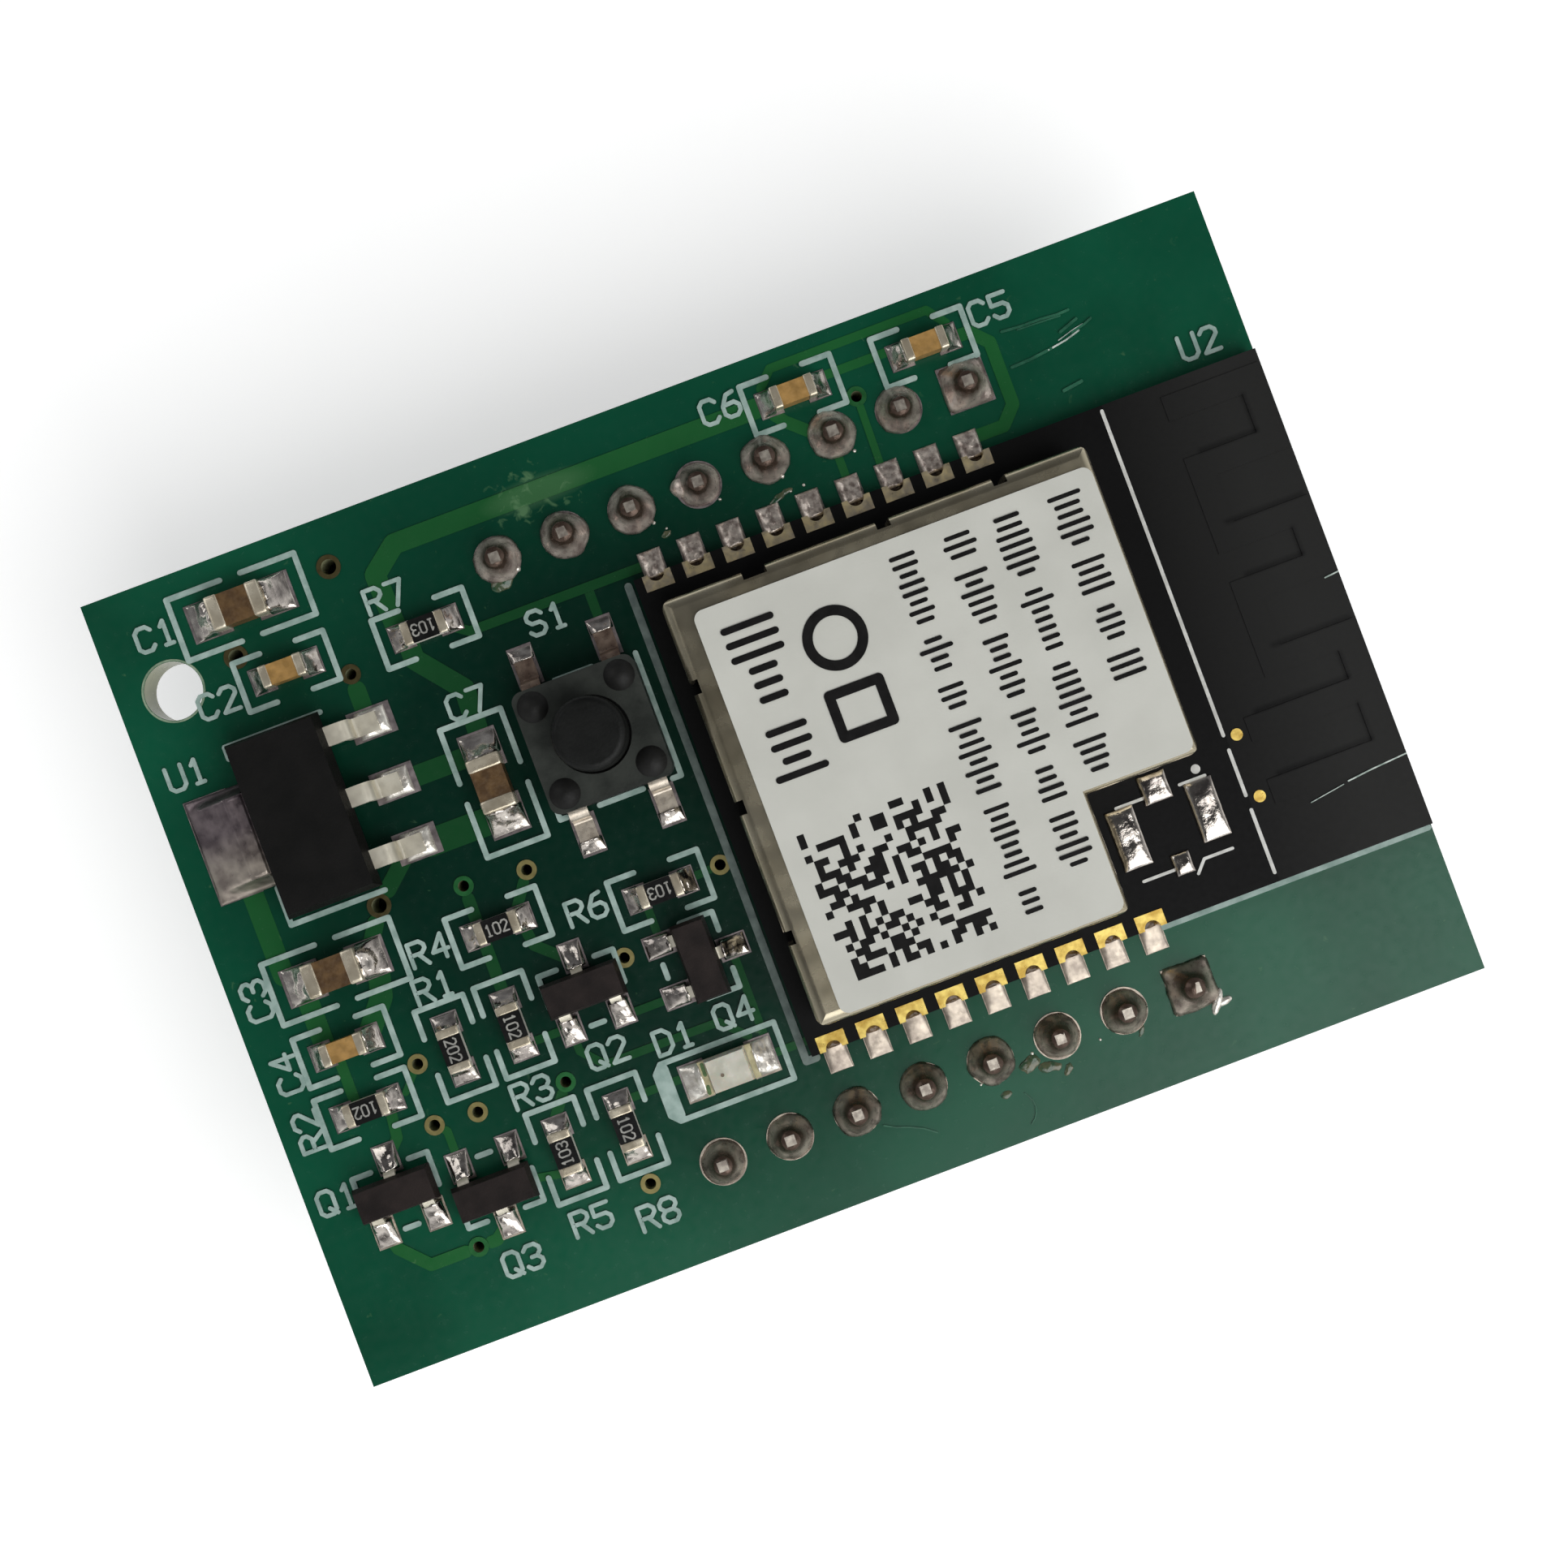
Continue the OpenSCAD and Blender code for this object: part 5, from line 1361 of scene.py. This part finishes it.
bars = random.Random(11)
label_lines = []
for row in TEXT_ROWS:
    label_lines += bar_row(*row, bars)
label_lines += [ring(*RING_OUTLINE, OUTLINE), (OUTLINE, BOX_OUTLINE)]
drift("label_ink", ((12, 11, 11), (22, 21, 21)), 0.4, (0.45, 0.6), 0.1, 0.004, **DULL)
draw("label_print", "label_paper", label_lines, label_top, LABEL_RISE, "label_ink")

# %% A field of small squares
FIELD_MIDDLE = (2.45, -4.35)
FIELD_CELLS, FIELD_CELL = 21, 0.255
FIELD_SHARE, FIELD_SEED = 0.48, 4
CELL_SHAPE = (1, 1, 0.04)


def field_tree():
    """Small squares on a share of a grid's points, drawn with a fixed seed."""
    tree, given = new_tree("Field", Cell="Float", Share="Float", Ink="Material")
    odds = {"Probability": given["Share"], "Seed": FIELD_SEED}
    chance = add(tree, "FunctionNodeRandomValue", odds, 3, data_type="BOOLEAN")
    cell = add(tree, "GeometryNodeMeshCube", {"Size": CELL_SHAPE})
    size = joined(*[given["Cell"]] * 3)
    return ended(scattered(given["Geometry"], cell, size, selection=chance), given["Ink"], smooth=False)


offsets = [(i - (FIELD_CELLS - 1) / 2) * FIELD_CELL for i in range(FIELD_CELLS)]
grid = [((FIELD_MIDDLE[0] + x) * MM, (FIELD_MIDDLE[1] + y) * MM, label_top) for x in offsets for y in offsets]
grown("label_field", "label_paper", point_mesh("label_field", grid), field_tree(),
      Cell=FIELD_CELL * MM, Share=FIELD_SHARE, Ink="label_ink")

# %% Marks on the light
LIGHT_RISE = 0.012
LIGHT_MARKS = (
    ("light_stripe", "light_terminals", ((70, 104, 58), (96, 128, 78)), [
        (0.13, [(-6.19, -8.14), (-6.2, -8.52)]), (0.13, [(-6.25, -8.95), (-6.27, -9.18)])]),
    ("light_dot", "light_lens", ((112, 98, 80), (128, 112, 94)), [(0.13, [(-5.6, -8.7), (-5.598, -8.7)])]),
)
for name, node, tones, lines in LIGHT_MARKS:
    drift(f"{name}_tone", tones, 0.2, (0.3, 0.5), 0.1, 0.003)
    draw(name, "light_lens", lines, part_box(node)[1].z, LIGHT_RISE, f"{name}_tone")

# %% [markdown]
# ## The snap dome in the switch
#
# Under the button lies a thin dome of spring steel that snaps flat when it is pressed.

# %% The snap dome
dome_mesh = nodes["switch_dome"].data.copy()
dome_shape = merged("switch_dome")
dome_shape.to_mesh(dome_mesh)
dome_shape.free()
dome = add_object("snap_dome", dome_mesh)
board_piece(dome, "dome_steel", "switch_dome")
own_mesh(dome)

# %% [markdown]
# ## Wear and residue
#
# This board was soldered by hand and has been handled. Fine scratches cross the mask and the
# antenna end, small beads of solder have spattered beside the pins, and clear flux has dried in
# low pools along the lower row. One faint curve by the lower row is a painted highlight on the
# edge of a flux film, drawn among the scratches. Beads and pools are all drops: one tree sets a
# ball at each place, flattens and turns it, and lets noise pull its outline about. The places
# are read off the photograph, since each bead is a mark of its own.

# %% Scratches
SCRATCH_RISE = 0.04
SCRATCHES = (
    ("faint_scratches", board_top, "faint_scratch_and_sheen", "carrier_mask", [
        (0.1, [(12.85, 11.18), (13.6, 11.22), (14.4, 11.32)]),
        (0.09, [(12.95, 12.5), (13.6, 12.44), (14.4, 12.43), (15.0, 12.38), (15.45, 12.4)]),
        (0.05, [(13.5, 12.36), (14.2, 12.34), (15.1, 12.3)]),
        (0.08, [(15.3, 11.6), (15.8, 11.72), (16.1, 11.84)]),
        (0.1, [(14.9, 11.75), (15.6, 12.0)]),
        (0.12, [(14.3, 9.75), (15.0, 9.85)]),
        (0.05, [(-0.9, -12.5), (-0.5, -12.72), (-0.1, -12.86), (0.4, -13.1), (0.8, -13.4)]),
        # Painted highlight: the lit edge of a flux film, drawn like a scratch.
        (0.04, [(4.2, -13.2), (4.3, -13.36), (4.38, -13.55), (4.4, -13.75), (4.34, -13.98), (4.22, -14.16),
                (4.05, -14.3)]),
    ]),
    ("bright_scratches", board_top, "bright_scratch", "carrier_mask", [
        (0.06, [(14.3, 11.3), (15.0, 11.42), (15.55, 11.58)]),
        (0.035, [(14.75, 11.5), (15.3, 11.66), (15.75, 11.75)]),
    ]),
    ("radio_scratches", radio_top, "bright_scratch", "radio_mask", [
        (0.05, [(20.45, 0.25), (20.95, 0.3)]),
        (0.05, [(18.7, -6.75), (19.6, -6.65), (20.95, -6.55)]),
        (0.03, [(17.2, -7.0), (18.5, -6.8)]),
    ]),
)
# This tone serves the faint scratches and one painted highlight on a flux edge.
drift("faint_scratch_and_sheen", ((14, 82, 58), (36, 106, 78)), 0.5, (0.3, 0.5), 0.1, 0.004)
drift("bright_scratch", ((140, 158, 148), (214, 224, 216)), 0.3, (0.3, 0.5), 0.1, 0.004)
for name, level, tone, slot, lines in SCRATCHES:
    draw(name, slot, lines, level, SCRATCH_RISE, tone)

# %% The drop tree
DROP_CUTS = 4


def drop_tree():
    """Low rounded drops, sized and turned by their points and pulled about by noise."""
    tree, given = new_tree("Drops", Pull="Float", Pull_size="Float", Skin="Material")
    ball = add(tree, "GeometryNodeMeshIcoSphere", {"Radius": 1, "Subdivisions": DROP_CUTS})
    placed = real(scattered(given["Geometry"], ball, Rotation=spun(tree)))
    about = vector("SUBTRACT", waves(tree, given["Pull_size"], "Color"), (0.5, 0.5, 0.5))
    level = vector("MULTIPLY", about, (1, 1, 0))
    offset = add(tree, "ShaderNodeVectorMath", {0: level, "Scale": given["Pull"]}, operation="SCALE")
    return ended(moved(placed, Offset=offset), given["Skin"], smooth=True)


DROPS = drop_tree()


def drops(name, slot, spots, skin, pull, pull_size):
    """Piece made of drops, each a place, a turn, and half a length, width and height."""
    mesh = point_mesh(name, [(x * MM, y * MM, board_top) for (x, y), *_ in spots],
                      turn=[math.radians(degrees) for _, degrees, _ in spots],
                      size=[Vector(size) * MM for *_, size in spots])
    grown(name, slot, mesh, DROPS, Pull=pull * MM, Pull_size=pull_size * MM, Skin=skin)


# %% Spattered solder
BEADS = (
    (-6.15, 10.66, 0.13), (-1.03, 10.47, 0.07), (-0.67, 10.13, 0.05), (1.47, 10.42, 0.06),
    (3.83, 10.42, 0.08), (4.44, 9.86, 0.06), (3.93, 9.81, 0.05), (3.24, 9.5, 0.05), (6.56, 10.36, 0.06),
    (0.25, -11.85, 0.06), (2.85, -12.35, 0.05), (4.95, -11.95, 0.06), (7.4, -12.35, 0.05),
)
SPLASH = [
    ((11.78, -12.55), 58, (0.5, 0.17, 0.14)), ((12.02, -12.62), 8, (0.3, 0.15, 0.12)),
    ((11.62, -12.12), 95, (0.24, 0.12, 0.1)),
]
TAIL = [((0.38, 11.3), 172, (0.45, 0.4, 0.4))]
beads = [((x, y), 0, (size, size, size)) for x, y, size in BEADS]
drops("solder_beads", "solder", beads + SPLASH, "bright_solder", pull=0.08, pull_size=0.2)
drops("joint_tail", "solder", TAIL, "joint_solder", pull=0.1, pull_size=0.4)

# %% Dried flux
FLUX = [
    ((-6.82, 10.4), 15, (0.42, 0.3, 0.12)), ((4.75, -12.25), 25, (0.42, 0.26, 0.08)),
    ((5.35, -12.6), -15, (0.4, 0.22, 0.07)), ((5.95, -12.95), 40, (0.22, 0.12, 0.05)),
    ((3.6, -13.0), 10, (0.2, 0.12, 0.04)), ((8.9, -12.6), 60, (0.22, 0.1, 0.05)),
    ((-0.75, 9.95), 30, (0.2, 0.1, 0.05)), ((3.5, 9.75), 20, (0.5, 0.12, 0.05)),
]
drift("dried_flux", ((40, 74, 52), (96, 96, 72)), 0.35, (0.06, 0.16), 0.3, 0.02, Specular_IOR_Level=0.6)
drops("dried_flux", "carrier_mask", FLUX, "dried_flux", pull=0.3, pull_size=0.35)

# %% Pale rim of the mounting hole
HOLE_MIDDLE = (-19.1, 10.85)
HOLE_RIM, RIM_LINE, RIM_RISE = 1.1, 0.07, 0.02
drift("bare_rim", ((112, 138, 112), (150, 168, 142)), 0.4, (0.4, 0.6), 0.1, 0.004)
draw("hole_rim", "carrier_mask", [ring(*HOLE_MIDDLE, HOLE_RIM, RIM_LINE)], board_top, RIM_RISE, "bare_rim")
